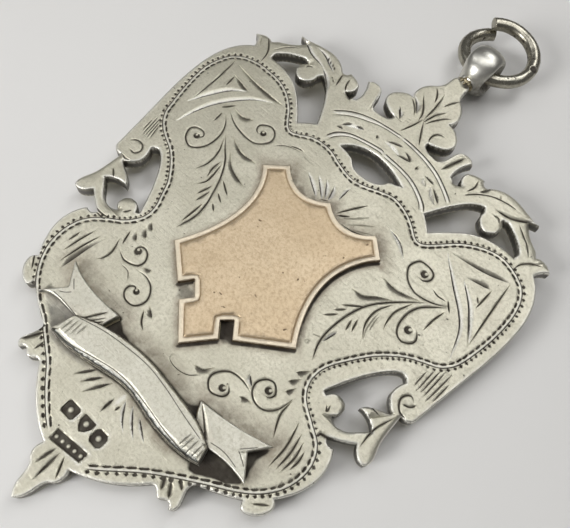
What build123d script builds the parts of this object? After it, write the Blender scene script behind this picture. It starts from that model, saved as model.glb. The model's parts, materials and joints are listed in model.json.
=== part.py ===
# A silver watch fob: a pierced plate with an applied shield and ribbon, an eyelet and a split jump ring.
# Millimetres. The back of the plate lies in z = 0, +Y runs towards the ring, +Z out of the face.
import math
import os

from build123d import *

# Plate
plate_width = 33.7
plate_height = 47.5
plate_thickness = 1.2

# Applied shield
cartouche_width = 12.2
cartouche_height = 16.4
cartouche_thickness = 0.45

# Applied ribbon
ribbon_length = 19.8
ribbon_height = 5.2
band_thickness = 0.85
tail_thickness = 0.7
ribbon_edge_fall = 0.12

# Solder
solder_film = 0.06
solder_inset = 0.15
neck_solder_length = 0.25
neck_solder_width = 1.6
neck_solder_depth = 1.3

# Eyelet
loop_outer_radius = 2.15
loop_hole_radius = 1.05
loop_width = 2.75
loop_side_shift = 0.2
loop_foot_width = 1.5
loop_foot_depth = 1.1
loop_foot_round = 0.35

# Jump ring
ring_mean_radius = 3.11
ring_wire_radius = 0.58
ring_running_clearance = 0.17
ring_end_step = 1.3
ring_end_overlap = 0.52
ring_split_angle = 134.3
ring_side_shift = 0.28
ring_droop = 3.5

# One overrun serves every cut
cut_overrun = 1.0

# The plate's edge, right half, from the tip of the leaf down to the bottom drop. Each row runs from one
# corner to the next. First figure: share of half the plate's width; second: share of its height.
leaf_edge_shares = [
    [(0.000, 0.503), (0.030, 0.503)],
    [(0.030, 0.503), (0.047, 0.497), (0.053, 0.482), (0.068, 0.463), (0.101, 0.451), (0.125, 0.438),
     (0.134, 0.424), (0.119, 0.406)],
    [(0.119, 0.406), (0.148, 0.406), (0.184, 0.398), (0.214, 0.383), (0.208, 0.366), (0.166, 0.354),
     (0.113, 0.348)],
    [(0.113, 0.348), (0.116, 0.341), (0.148, 0.334), (0.202, 0.332)],
]
crown_edge_shares = [
    [(0.202, 0.332), (0.228, 0.343), (0.240, 0.362), (0.261, 0.376), (0.297, 0.380), (0.341, 0.373)],
    [(0.341, 0.373), (0.318, 0.358), (0.306, 0.341), (0.309, 0.324)],
    [(0.309, 0.324), (0.341, 0.321), (0.374, 0.325)],
    [(0.374, 0.325), (0.347, 0.337), (0.353, 0.351), (0.386, 0.360), (0.436, 0.364)],
    [(0.436, 0.364), (0.451, 0.356), (0.472, 0.355)],
    [(0.472, 0.355), (0.516, 0.367), (0.564, 0.373), (0.617, 0.373), (0.682, 0.368), (0.772, 0.359)],
    [(0.772, 0.359), (0.721, 0.353)],
    [(0.721, 0.353), (0.754, 0.339), (0.795, 0.327), (0.831, 0.319), (0.852, 0.309)],
    [(0.852, 0.309), (0.884, 0.313), (0.914, 0.311), (0.944, 0.301)],
    [(0.944, 0.301), (0.908, 0.289), (0.896, 0.278)],
]
lobe_edge_shares = [
    [(0.896, 0.278), (0.932, 0.265), (0.970, 0.242), (0.994, 0.211), (1.000, 0.168), (0.988, 0.116),
     (0.964, 0.063), (0.941, 0.013), (0.920, -0.036)],
    [(0.920, -0.036), (0.911, -0.043), (0.890, -0.047), (0.866, -0.046)],
]
arm_edge_shares = [
    [(0.866, -0.046), (0.869, -0.072), (0.878, -0.099), (0.896, -0.124), (0.884, -0.136)],
    [(0.884, -0.136), (0.861, -0.137), (0.828, -0.131), (0.807, -0.121)],
    [(0.807, -0.121), (0.766, -0.131), (0.736, -0.137), (0.706, -0.142)],
    [(0.706, -0.142), (0.715, -0.148), (0.754, -0.149)],
]
lower_edge_shares = [
    [(0.754, -0.149), (0.783, -0.171), (0.789, -0.194), (0.769, -0.223), (0.715, -0.255)],
    [(0.715, -0.255), (0.736, -0.265), (0.724, -0.280), (0.694, -0.291), (0.653, -0.296), (0.629, -0.286)],
    [(0.629, -0.286), (0.546, -0.303), (0.460, -0.317)],
    [(0.460, -0.317), (0.460, -0.339), (0.472, -0.356), (0.451, -0.364)],
    [(0.451, -0.364), (0.421, -0.358), (0.392, -0.364), (0.362, -0.357), (0.335, -0.359)],
    [(0.335, -0.359), (0.273, -0.382), (0.190, -0.404), (0.077, -0.423)],
    [(0.077, -0.423), (0.086, -0.434), (0.071, -0.448)],
    [(0.071, -0.448), (0.045, -0.459), (0.036, -0.476), (0.018, -0.491), (0.000, -0.497)],
]

# The saw-pierced openings, as shares of the same two sizes: the one between crown and lobe and the one
# inside the side scroll are cut twice, mirrored; the eye under the crown band is cut once.
crown_opening_shares = [
    [(0.344, 0.236), (0.377, 0.259), (0.421, 0.286), (0.469, 0.308), (0.522, 0.320)],
    [(0.522, 0.320), (0.537, 0.311)],
    [(0.537, 0.311), (0.552, 0.291), (0.593, 0.284), (0.638, 0.292), (0.650, 0.309), (0.629, 0.323)],
    [(0.629, 0.323), (0.659, 0.325)],
    [(0.659, 0.325), (0.706, 0.316), (0.754, 0.303), (0.780, 0.292)],
    [(0.780, 0.292), (0.777, 0.281)],
    [(0.777, 0.281), (0.712, 0.282), (0.647, 0.277), (0.582, 0.268), (0.510, 0.249), (0.445, 0.226),
     (0.415, 0.214)],
    [(0.415, 0.214), (0.380, 0.226), (0.344, 0.236)],
]
side_opening_shares = [
    [(0.789, -0.003), (0.763, 0.004), (0.727, -0.003), (0.682, -0.021), (0.641, -0.044), (0.605, -0.069),
     (0.570, -0.097)],
    [(0.570, -0.097), (0.585, -0.100)],
    [(0.585, -0.100), (0.602, -0.091), (0.638, -0.086), (0.674, -0.092), (0.682, -0.103), (0.659, -0.116)],
    [(0.659, -0.116), (0.694, -0.121), (0.736, -0.119), (0.774, -0.108), (0.819, -0.093)],
    [(0.819, -0.093), (0.783, -0.083), (0.721, -0.079)],
    [(0.721, -0.079), (0.748, -0.067), (0.789, -0.059), (0.828, -0.052)],
    [(0.828, -0.052), (0.798, -0.044), (0.774, -0.032), (0.774, -0.017), (0.789, -0.003)],
]
eye_opening_shares = [
    [(-0.178, 0.233), (-0.125, 0.252), (-0.059, 0.262), (0.006, 0.264), (0.083, 0.260), (0.175, 0.248)],
    [(0.175, 0.248), (0.113, 0.238)],
    [(0.113, 0.238), (0.089, 0.224), (0.053, 0.217), (0.000, 0.214), (-0.053, 0.217), (-0.095, 0.228),
     (-0.136, 0.232), (-0.178, 0.233)],
]

# The shield, as shares of its own width and height about its own middle
cartouche_middle_shares = (0.003, -0.029)
cartouche_shares = [
    [(0.004, 0.470), (0.070, 0.436), (0.160, 0.418), (0.250, 0.433), (0.357, 0.500)],
    [(0.357, 0.500), (0.488, 0.415)],
    [(0.488, 0.415), (0.393, 0.305), (0.352, 0.159), (0.385, 0.012), (0.504, -0.159)],
    [(0.504, -0.159), (0.209, -0.326)],
    [(0.209, -0.326), (0.131, -0.256)],
    [(0.131, -0.256), (0.074, -0.299)],
    [(0.074, -0.299), (0.148, -0.363)],
    [(0.148, -0.363), (0.004, -0.497)],
    [(0.004, -0.497), (-0.189, -0.360)],
    [(-0.189, -0.360), (-0.135, -0.305)],
    [(-0.135, -0.305), (-0.217, -0.247)],
    [(-0.217, -0.247), (-0.275, -0.308)],
    [(-0.275, -0.308), (-0.488, -0.183)],
    [(-0.488, -0.183), (-0.393, -0.006), (-0.365, 0.146), (-0.398, 0.280), (-0.492, 0.387)],
    [(-0.492, 0.387), (-0.361, 0.479)],
    [(-0.361, 0.479), (-0.250, 0.421), (-0.160, 0.409), (-0.070, 0.430), (0.004, 0.470)],
]

# The ribbon, as shares of its own length and height about its own middle
ribbon_middle_shares = (0.012, -0.263)
band_shares = [
    [(-0.331, -0.135), (-0.237, 0.029), (-0.126, 0.125), (-0.005, 0.154), (0.111, 0.115), (0.232, 0.058),
     (0.331, -0.087)],
    [(0.331, -0.087), (0.348, -0.308)],
    [(0.348, -0.308), (0.232, -0.394), (0.106, -0.365), (-0.005, -0.308), (-0.131, -0.385),
     (-0.253, -0.481), (-0.354, -0.481)],
    [(-0.354, -0.481), (-0.331, -0.135)],
]
left_tail_shares = [
    [(-0.492, 0.375), (-0.414, 0.279), (-0.313, 0.250), (-0.220, 0.269)],
    [(-0.220, 0.269), (-0.237, 0.029)],
    [(-0.237, 0.029), (-0.331, -0.135)],
    [(-0.331, -0.135), (-0.394, -0.135), (-0.455, -0.163), (-0.495, -0.260)],
    [(-0.495, -0.260), (-0.429, 0.058)],
    [(-0.429, 0.058), (-0.492, 0.375)],
]
right_tail_shares = [
    [(0.199, 0.260), (0.293, 0.308), (0.384, 0.385), (0.482, 0.500)],
    [(0.482, 0.500), (0.432, 0.231)],
    [(0.432, 0.231), (0.497, -0.077)],
    [(0.497, -0.077), (0.414, -0.048), (0.331, -0.087)],
    [(0.331, -0.087), (0.232, 0.058)],
    [(0.232, 0.058), (0.199, 0.260)],
]

# Heights that follow from the thicknesses
half_width = plate_width / 2
plate_middle = plate_thickness / 2
face_top = plate_thickness + solder_film

os.makedirs("parts", exist_ok=True)


def draw(runs, x_size, y_size):
    # one line or smooth curve for each run of points, inside the caller's BuildLine
    for run in runs:
        points = [(x_size * x, y_size * y) for x, y in run]
        if len(points) == 2:
            Line(*points)
        else:
            Spline(*points)


# Base plate: one pierced sheet
with BuildPart() as base_plate:
    with BuildSketch():
        with BuildLine():
            for edge_shares in (leaf_edge_shares, crown_edge_shares, lobe_edge_shares, arm_edge_shares,
                                lower_edge_shares):
                draw(edge_shares, half_width, plate_height)
            mirror(about=Plane.YZ)
        make_face()
        with BuildLine():
            draw(eye_opening_shares, half_width, plate_height)
        make_face(mode=Mode.SUBTRACT)
        for opening_shares in (crown_opening_shares, side_opening_shares):
            for side in (1, -1):
                with BuildLine():
                    draw(opening_shares, side * half_width, plate_height)
                make_face(mode=Mode.SUBTRACT)
    extrude(amount=plate_thickness)

base_plate.part.label = "base_plate"
export_step(base_plate.part, "parts/base_plate.step")

# Shield and the solder film under it
cartouche_x = cartouche_middle_shares[0] * half_width
cartouche_y = cartouche_middle_shares[1] * plate_height
film_plane = Plane((cartouche_x, cartouche_y, plate_thickness))
seat_plane = Plane((cartouche_x, cartouche_y, face_top))

with BuildPart() as cartouche:
    with BuildSketch(seat_plane):
        with BuildLine():
            draw(cartouche_shares, cartouche_width, cartouche_height)
        make_face()
    extrude(amount=cartouche_thickness)

cartouche.part.label = "cartouche"
export_step(cartouche.part, "parts/cartouche.step")

with BuildPart() as cartouche_solder:
    with BuildSketch(film_plane):
        with BuildLine():
            draw(cartouche_shares, cartouche_width - 2 * solder_inset, cartouche_height - 2 * solder_inset)
        make_face()
    extrude(amount=solder_film)

cartouche_solder.part.label = "cartouche_solder"
export_step(cartouche_solder.part, "parts/cartouche_solder.step")

# Ribbon: band and swallow tails, struck as one piece with sloping sides
ribbon_x = ribbon_middle_shares[0] * half_width
ribbon_y = ribbon_middle_shares[1] * plate_height
ribbon_shapes = (
    (band_shares, band_thickness),
    (left_tail_shares, tail_thickness),
    (right_tail_shares, tail_thickness),
)

with BuildPart() as ribbon_banner:
    for shape_shares, thickness in ribbon_shapes:
        with BuildSketch(Plane((ribbon_x, ribbon_y, face_top))):
            with BuildLine():
                draw(shape_shares, ribbon_length, ribbon_height)
            make_face()
        extrude(amount=thickness)
    band_top = ribbon_banner.faces().filter_by(Axis.Z).sort_by(Axis.Z)[-1]
    chamfer(band_top.edges(), ribbon_edge_fall)

ribbon_banner.part.label = "ribbon_banner"
export_step(ribbon_banner.part, "parts/ribbon_banner.step")

with BuildPart() as ribbon_solder:
    with BuildSketch(Plane((ribbon_x, ribbon_y, plate_thickness))):
        for shape_shares, thickness in ribbon_shapes:
            with BuildLine():
                draw(shape_shares, ribbon_length - 2 * solder_inset, ribbon_height - 2 * solder_inset)
            make_face()
    extrude(amount=solder_film)

ribbon_solder.part.label = "ribbon_solder"
export_step(ribbon_solder.part, "parts/ribbon_solder.step")

# Solder at the neck, between the leaf's flat tip and the eyelet's foot
leaf_tip = leaf_edge_shares[0][0][1] * plate_height
loop_foot = leaf_tip + neck_solder_length

with BuildPart() as neck_solder:
    with BuildSketch(Plane((loop_side_shift / 2, leaf_tip, plate_middle), x_dir=(1, 0, 0), z_dir=(0, 1, 0))):
        Ellipse(neck_solder_width / 2, neck_solder_depth / 2)
    extrude(amount=neck_solder_length)

neck_solder.part.label = "neck_solder"
export_step(neck_solder.part, "parts/neck_solder.step")

# Eyelet: a fat ring of oval section, drawn in towards its foot
loop_middle = loop_foot + loop_outer_radius
loop_section = (loop_outer_radius - loop_hole_radius) / 2
loop_mean_radius = loop_hole_radius + loop_section
shoulder = loop_middle - loop_section
loop_top = loop_middle + loop_outer_radius + cut_overrun

loop_plane = Plane((loop_side_shift, 0, plate_middle))

with BuildPart() as suspension_loop:
    with BuildSketch(loop_plane):
        with Locations((0, loop_middle + loop_mean_radius)):
            Ellipse(loop_width / 2, loop_section)
    revolve(axis=Axis((0, loop_middle, plate_middle), (1, 0, 0)))
    with BuildSketch(Plane((loop_side_shift, loop_foot, plate_middle), x_dir=(1, 0, 0), z_dir=(0, 1, 0))):
        RectangleRounded(loop_foot_width, loop_foot_depth, loop_foot_round)
    extrude(amount=loop_section)
    with BuildSketch(loop_plane):
        with BuildLine():
            foot_line = Line((0, loop_foot), (loop_foot_width / 2, loop_foot))
            flank = Spline(foot_line @ 1, (loop_width / 2, shoulder), (loop_width, loop_top),
                           tangents=[(0, 1), (0, 1)])
            Line(flank @ 1, (0, loop_top))
            mirror(about=Plane.YZ)
        make_face()
    extrude(amount=loop_outer_radius + cut_overrun, both=True, mode=Mode.INTERSECT)

suspension_loop.part.label = "suspension_loop"
export_step(suspension_loop.part, "parts/suspension_loop.step")

# Jump ring: two half turns of round wire. Each is tipped about the point opposite the split, so the two
# ends stand one step apart and pass each other a little, as on a ring that was opened sideways.
ring_seat = loop_hole_radius - ring_wire_radius - ring_running_clearance
hinge_y = loop_middle - ring_seat
ring_reach = math.sqrt(ring_mean_radius**2 - ring_side_shift**2)
ring_tip = math.degrees(math.asin(ring_end_step / 4 / ring_mean_radius))
half_turn = 180 + math.degrees(ring_end_overlap / 2 / ring_mean_radius)
joint_angle = ring_split_angle - 180
seat_angle = math.degrees(math.atan2(-ring_reach, -ring_side_shift))
seat_turn = math.radians(joint_angle - seat_angle)
seat_drop = ring_mean_radius * (1 - math.cos(seat_turn)) * math.sin(math.radians(ring_tip))

hinge_plane = Plane((0, hinge_y, plate_middle)).rotated((-ring_droop, 0, 0))
ring_middle = hinge_plane.from_local_coords(Vector(ring_side_shift, ring_reach, seat_drop))
ring_plane = Plane(ring_middle, x_dir=hinge_plane.x_dir, z_dir=hinge_plane.z_dir)
ring_plane = Plane(ring_plane.location * Rotation(0, 0, joint_angle))
joint_point = ring_plane.from_local_coords(Vector(ring_mean_radius, 0, 0))

with BuildPart() as jump_ring:
    for side in (1, -1):
        end_plane = Plane(joint_point, x_dir=ring_plane.x_dir, z_dir=ring_plane.z_dir)
        tipped_plane = Plane(end_plane.location * Rotation(0, side * ring_tip, 0))
        turn_middle = tipped_plane.from_local_coords(Vector(-ring_mean_radius, 0, 0))
        with BuildSketch(Plane(joint_point, x_dir=tipped_plane.x_dir, z_dir=tipped_plane.y_dir)):
            Circle(ring_wire_radius)
        revolve(axis=Axis(turn_middle, side * tipped_plane.z_dir), revolution_arc=half_turn)

jump_ring.part.label = "jump_ring"
export_step(jump_ring.part, "parts/jump_ring.step")

print("hinge y and z", hinge_y, plate_middle)
print("ring middle", ring_middle)
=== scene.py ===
import json
import math
import random
from itertools import groupby

import bmesh
import bpy
import numpy as np
from mathutils import Matrix, Vector, noise
from mathutils.geometry import delaunay_2d_cdt
from mathutils.kdtree import KDTree


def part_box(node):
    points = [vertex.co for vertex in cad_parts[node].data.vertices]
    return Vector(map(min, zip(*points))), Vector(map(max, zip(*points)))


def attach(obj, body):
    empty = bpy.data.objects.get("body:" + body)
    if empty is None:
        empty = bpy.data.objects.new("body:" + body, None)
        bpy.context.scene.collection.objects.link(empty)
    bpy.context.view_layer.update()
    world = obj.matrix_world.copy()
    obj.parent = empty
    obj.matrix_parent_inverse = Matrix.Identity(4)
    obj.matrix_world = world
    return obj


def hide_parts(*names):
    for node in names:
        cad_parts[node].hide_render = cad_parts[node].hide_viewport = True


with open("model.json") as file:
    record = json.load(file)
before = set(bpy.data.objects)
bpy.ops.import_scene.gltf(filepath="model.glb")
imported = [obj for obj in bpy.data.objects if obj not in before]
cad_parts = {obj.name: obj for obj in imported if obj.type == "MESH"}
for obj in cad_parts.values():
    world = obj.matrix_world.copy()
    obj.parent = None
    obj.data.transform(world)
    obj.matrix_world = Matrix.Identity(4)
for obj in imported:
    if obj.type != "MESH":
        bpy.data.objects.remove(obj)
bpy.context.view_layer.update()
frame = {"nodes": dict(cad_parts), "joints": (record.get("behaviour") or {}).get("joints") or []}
mm = 0.001
tiny = 1e-9
print("frame loaded")


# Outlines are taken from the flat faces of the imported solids, in millimetres
def boxOf(node):
    return [np.array(corner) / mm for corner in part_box(node)]


def faceLoops(node, height, slack=0.004):
    # the closed outlines of a solid's flat faces at one height
    mesh = frame["nodes"][node].data
    spots = np.array([v.co for v in mesh.vertices]) / mm
    onFace = abs(spots[:, 2] - height) < slack
    keys = [tuple(p) for p in np.round(spots[:, :2], 3)]
    after = {}
    for polygon in mesh.polygons:
        corners = list(polygon.vertices)
        if all(onFace[i] for i in corners):
            for a, b in zip(corners, corners[1:] + corners[:1]):
                after.setdefault(keys[a], set()).add(keys[b])
    border = {a: b for a, ends in after.items() for b in ends if a not in after.get(b, ())}
    loops = []
    while border:
        loop = [next(iter(border))]
        while loop[-1] in border:
            loop.append(border.pop(loop[-1]))
        loops.append(np.array(loop[:-1]))
    return loops


def sidesOf(loop):
    return zip(loop, np.roll(loop, -1, axis=0))


def evenLoops(loops, step):
    # the same outlines with points added along their long straight parts
    even = []
    for loop in loops:
        rows = []
        for a, b in sidesOf(loop):
            count = max(1, math.ceil(np.hypot(*(b - a)) / step))
            rows.extend(a + (b - a) * k / count for k in range(count))
        even.append(np.round(rows, 3))
    return even


def insideLoops(points, loops, chunk=4000):
    # even-odd test, a slice of points at a time
    a = np.concatenate(loops)
    b = np.concatenate([np.roll(loop, -1, axis=0) for loop in loops])
    rise = b[:, 1] - a[:, 1]
    slope = (b[:, 0] - a[:, 0]) / np.where(rise == 0, tiny, rise)
    inside = np.zeros(len(points), bool)
    for k in range(0, len(points), chunk):
        x, y = points[k:k + chunk].T[:, :, None]
        spans = (a[:, 1] > y) != (b[:, 1] > y)
        crossings = np.count_nonzero(spans & (x < a[:, 0] + (y - a[:, 1]) * slope), axis=1)
        inside[k:k + chunk] = crossings % 2 == 1
    return inside


class EdgeFinder:
    # nearest point of a set of outlines, with the direction that points out of the metal there
    def __init__(self, loops, step=0.02):
        spots, outs = [], []
        for loop in loops:
            for a, b in sidesOf(loop):
                along = b - a
                length = np.hypot(*along)
                if length < tiny:
                    continue
                for t in np.arange(0, 1, step / length):
                    spots.append(a + along * t)
                    outs.append((along[1] / length, -along[0] / length))
        self.outs = np.array(outs)
        self.tree = KDTree(len(spots))
        for i, (x, y) in enumerate(spots):
            self.tree.insert((x, y, 0), i)
        self.tree.balance()

    def near(self, points):
        found = [self.tree.find((x, y, 0)) for x, y in points]
        return np.array([f[2] for f in found]), self.outs[[f[1] for f in found]]


# Small helps for the shapes below; xy is always a table of points, one row each
def unit(values):
    return np.clip(values, 0, 1)


def eased(far, radius):
    # the fall of a quarter round: 1 at the edge, 0 from one radius inwards
    return 1 - np.sqrt(unit(1 - unit(1 - far / radius)**2))


def toSpot(xy, x, y):
    return np.hypot(xy[:, 0] - x, xy[:, 1] - y)


def patchOf(xy, corners, step=0.05):
    # how far points lie from the outline of a patch, and which of them lie inside it
    outline = np.array(corners)
    return EdgeFinder([outline], step).near(xy)[0], insideLoops(xy, [outline])


def gridOf(low, high, step):
    x, y = (np.arange(low[i], high[i], step) for i in (0, 1))
    return np.stack(np.meshgrid(x, y), -1).reshape(-1, 2)


def ring(x, y, radius, sides=14):
    angles = np.linspace(0, 2 * math.pi, sides, endpoint=False)
    return np.c_[x + radius * np.cos(angles), y + radius * np.sin(angles)]


def leftOf(line, closed=False):
    # the direction to the left at each point of a line
    ahead = np.roll(line, -1, axis=0) - np.roll(line, 1, axis=0) if closed else np.gradient(line, axis=0)
    ahead = ahead / np.maximum(np.hypot(*ahead.T), tiny)[:, None]
    return np.c_[-ahead[:, 1], ahead[:, 0]]


def runOf(line):
    # distance along a line, at each of its points
    return np.concatenate([[0], np.cumsum(np.hypot(*np.diff(line, axis=0).T))])


def readAt(line, run, places):
    return np.array([np.interp(places, run, line[:, 0]), np.interp(places, run, line[:, 1])]).T


def smoothPath(points, step):
    # a curve through given points, read at even steps
    p = [np.array(q, float) for q in points]
    if len(p) == 2:
        dense = [p[0] + (p[1] - p[0]) * t for t in np.linspace(0, 1, 20)]
    else:
        p = [2 * p[0] - p[1]] + p + [2 * p[-1] - p[-2]]
        shares = np.linspace(0, 1, 12, endpoint=False)
        fours = [(a, b, c, d, t) for a, b, c, d in zip(p, p[1:], p[2:], p[3:]) for t in shares]
        dense = [0.5 * (2 * b + (c - a) * t + (2 * a - 5 * b + 4 * c - d) * t**2
                        + (3 * b - a - 3 * c + d) * t**3) for a, b, c, d, t in fours]
        dense.append(p[-2])
    dense = np.array(dense)
    run = runOf(dense)
    return readAt(dense, run, np.linspace(0, run[-1], max(3, math.ceil(run[-1] / step) + 1)))


def waves(xy, size, height, shift=0.0):
    return np.array([noise.noise((x / size + shift, y / size, shift)) for x, y in xy]) * height


def ripples(xy, far, broad, fine, calm=0.2):
    # broad and fine waves that stay below the face and die out at the edge
    wave = waves(xy, *broad) + waves(xy, *fine)
    return (wave - wave.max()) * unit(far / calm)


graver = dict(thinEnd=0.04, reach=1.6, darkSwell=1.3, brightGain=1.8)


class Cut:
    # one stroke of the graver: a V with its own slope on each side, drawn in at both ends
    def __init__(self, points, left, right, depth, dark, start=0.3, end=0.3, step=0.16, spread=1, bright=0):
        self.path = smoothPath(points, step)
        self.left, self.right, self.depth = left, right, depth
        self.dark, self.spread, self.bright = dark, spread, bright
        share, thin = np.linspace(0, 1, len(self.path)), graver["thinEnd"]
        self.swell = np.sqrt(np.clip(share / start, thin, 1) * np.clip((1 - share) / end, thin, 1))
        self.side = leftOf(self.path)

    def lines(self):
        path, side, swell = self.path, self.side, self.swell[:, None]
        return path, path + side * self.left * swell, path - side * self.right * swell

    def apply(self, xy, drop, grooveAndShade, freshAndHighlight):
        reach = max(self.left, self.right) * graver["reach"]
        near = np.nonzero(((xy > self.path.min(0) - reach) & (xy < self.path.max(0) + reach)).all(1))[0]
        if not len(near):
            return
        p, a, along = xy[near], self.path[:-1], np.diff(self.path, axis=0)
        t = unit(((p[:, None] - a) * along).sum(2) / np.maximum((along**2).sum(1), tiny))
        off = p[:, None] - (a + along * t[:, :, None])
        far = np.hypot(off[:, :, 0], off[:, :, 1])
        best, rows = far.argmin(1), np.arange(len(p))
        off, t, far = off[rows, best], t[rows, best], far[rows, best]
        onLeft = along[best, 0] * off[:, 1] > along[best, 1] * off[:, 0]
        swell = self.swell[best] * (1 - t) + self.swell[best + 1] * t
        fall = 1 - far / (np.where(onLeft, self.left, self.right) * swell)
        drop[near] = np.maximum(drop[near], self.depth * swell * unit(fall))
        dark = self.dark * unit(fall)**self.spread * unit(swell * graver["darkSwell"])
        grooveAndShade[near] = np.maximum(grooveAndShade[near], dark)
        # painted highlight on the cut's wide side
        freshAndHighlight[near] = np.maximum(freshAndHighlight[near], self.bright * unit(fall * graver["brightGain"]))


def engrave(xy, cuts):
    # how deep, how dark and how bright the cuts leave each point; the brightness is painted highlight
    layers = np.zeros((3, len(xy)))
    for cut in cuts:
        cut.apply(xy, *layers)
    return layers


# Sheets: fine meshes on an outline, with a worked face, walls and a plain back
# the wall and wall-end tones are painted shade on the walls
sheet = dict(cutMargin=0.05, keepOff=0.8, shake=0.25, backGrid=0.9, backEase=0.9, headDrop=0.1,
             wallRows=(0, 0.35, 0.7, 1), wallShadeTone=1.0, wallEndShadeTone=0.6, merge=1e-7, lost=1e-8, weld=1e-5, sharp=42)


def triangles(points, edges, loops):
    points = [Vector(p) for p in points]
    spots, _, faces, origins, _, _ = delaunay_2d_cdt(points, edges, [], 0, sheet["weld"])
    xy, faces = np.array([(s[0], s[1]) for s in spots]), np.array(faces)
    return xy, faces[insideLoops(xy[faces].mean(1), loops)], origins


def fieldPoints(edge, loops, low, high, cuts, bumps, extra, detail):
    # rows of points just inside the edge, then a hexagonal field, closer where the work is fine
    loose = [np.array(extra)] if len(extra) else []
    loose += [loop + leftOf(loop, closed=True) * inset for loop in loops for inset in detail["insets"]]
    busy, cell = set(), detail["busyCell"]
    for line in [cut.path for cut in cuts] + [np.array([bump[:2]]) for bump in bumps]:
        for i, j in {tuple(c) for c in np.floor(line / cell).astype(int)}:
            busy.update((i + di, j + dj) for di in (-1, 0, 1) for dj in (-1, 0, 1))
    field, dice = [], random.Random(11)
    fine, skip = detail["fine"], detail["skip"]
    rowStep, shake = fine * math.sqrt(3) / 2, sheet["shake"]
    for row in range(int((high[1] - low[1]) / rowStep) + 1):
        y = low[1] + row * rowStep
        for column in range(int((high[0] - low[0]) / fine) + 1):
            x = low[0] + (column + 0.5 * (row % 2)) * fine
            shift = (dice.uniform(-shake, shake) * fine, dice.uniform(-shake, shake) * fine)
            close = (math.floor(x / cell), math.floor(y / cell)) in busy or detail["fineWhere"](x, y)
            if close or (row % skip == 0 and column % skip == 0):
                field.append((x + shift[0], y + shift[1]))
    looseCount = sum(len(row) for row in loose)
    field = np.concatenate(loose + [np.array(field)])
    far, _ = edge.near(field)
    keep = (far > detail["insets"][0] * sheet["keepOff"]) & insideLoops(field, loops)
    keep[looseCount:] &= (far[looseCount:] < detail["clear"][0]) | (far[looseCount:] > detail["clear"][1])
    return field[keep]


def sheetOfMetal(name, loops, top, back, shapeTop, detail, cuts=(), bumps=(), lines=(), extra=()):
    # loops are the outline; shapeTop gives the face's height and the layers that its finish reads
    edge = EdgeFinder(loops)
    low, high = np.min([loop.min(0) for loop in loops], 0), np.max([loop.max(0) for loop in loops], 0)
    points, edges = [], []

    def addLine(line, closed=True):
        first, count = len(points), len(line)
        points.extend(line)
        edges.extend((first + i, first + i + 1) for i in range(count - 1))
        if closed:
            edges.append((first + count - 1, first))

    for loop in loops:
        addLine(loop)
    outlineCount = len(points)
    for line in [line for cut in cuts for line in cut.lines()]:
        inside = (edge.near(line)[0] > sheet["cutMargin"]) & insideLoops(line, loops)
        for good, run in groupby(zip(line, inside), key=lambda pair: pair[1]):
            piece = [spot for spot, _ in run]
            if good and len(piece) > 1:
                addLine(piece, closed=False)
    for line in [ring(x, y, radius) for x, y, radii in bumps for radius in radii] + list(lines):
        addLine(line)
    outlineEdges = [e for e in edges if max(e) < outlineCount]
    points.extend(fieldPoints(edge, loops, low, high, cuts, bumps, extra, detail))
    xy, faces, origins = triangles(points, edges, loops)
    far, outs = edge.near(xy)
    border = np.array([any(parent < outlineCount for parent in parents) for parents in origins])
    far[border] = 0
    z, layers = shapeTop(xy, far, outs)

    inset = detail["backRound"]
    backField = list(points[:outlineCount])
    for loop in loops:
        backField.extend(loop + leftOf(loop, closed=True) * inset)
    backField = np.array(backField + list(gridOf(low, high, sheet["backGrid"])))
    keep = insideLoops(backField, loops) & (edge.near(backField)[0] > inset * sheet["keepOff"])
    keep[:outlineCount] = True
    backXY, backFaces, _ = triangles(backField[keep], outlineEdges, loops)
    backZ = back + inset * eased(edge.near(backXY)[0], inset) * sheet["backEase"]

    bm = bmesh.new()
    slots = {key: bm.verts.layers.float.new(key) for key in layers}

    def addSkin(xy, z, faces, values):
        made = {}
        for i in np.unique(faces):
            made[i] = bm.verts.new((xy[i, 0] * mm, xy[i, 1] * mm, z[i] * mm))
            for key, value in values.items():
                made[i][slots[key]] = float(value[i])
        for face in faces:
            bm.faces.new([made[i] for i in face])

    addSkin(xy, z, faces, layers)
    addSkin(backXY, backZ, backFaces[:, ::-1], {})
    topEdgeZ = {tuple(np.round(xy[i], 3)): z[i] for i in np.nonzero(border)[0]}
    foot = back + inset * sheet["backEase"]
    # the walls are painted in shade: their wall layer darkens them towards the wall colour
    for loop in loops:
        rows = []
        for share in sheet["wallRows"]:
            row = []
            for x, y in loop:
                head = topEdgeZ.get((round(x, 3), round(y, 3)), top - sheet["headDrop"])
                vert = bm.verts.new((x * mm, y * mm, (head + (foot - head) * share) * mm))
                vert[slots["wall"]] = sheet["wallShadeTone"] if 0 < share < 1 else sheet["wallEndShadeTone"]
                row.append(vert)
            rows.append(row)
        bridge(bm, rows, outward=True)
    bmesh.ops.remove_doubles(bm, verts=bm.verts, dist=sheet["merge"])
    bmesh.ops.dissolve_degenerate(bm, dist=sheet["lost"], edges=bm.edges)
    return finishMesh(name, bm, sheet["sharp"])


def bridge(bm, rows, outward=False):
    # quads between closed rows of verts
    for above, below in zip(rows, rows[1:]):
        for i in range(len(above)):
            j = (i + 1) % len(above)
            quad = [above[i], above[j], below[j], below[i]]
            bm.faces.new(quad[:1] + quad[:0:-1] if outward else quad)


def finishMesh(name, bm, sharp=None):
    bmesh.ops.recalc_face_normals(bm, faces=bm.faces)
    mesh = bpy.data.meshes.new(name)
    bm.to_mesh(mesh)
    bm.free()
    mesh.shade_smooth()
    if sharp is not None:
        mesh.set_sharp_from_angle(angle=math.radians(sharp))
    piece = bpy.data.objects.new(name, mesh)
    bpy.context.scene.collection.objects.link(piece)
    return piece


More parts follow.
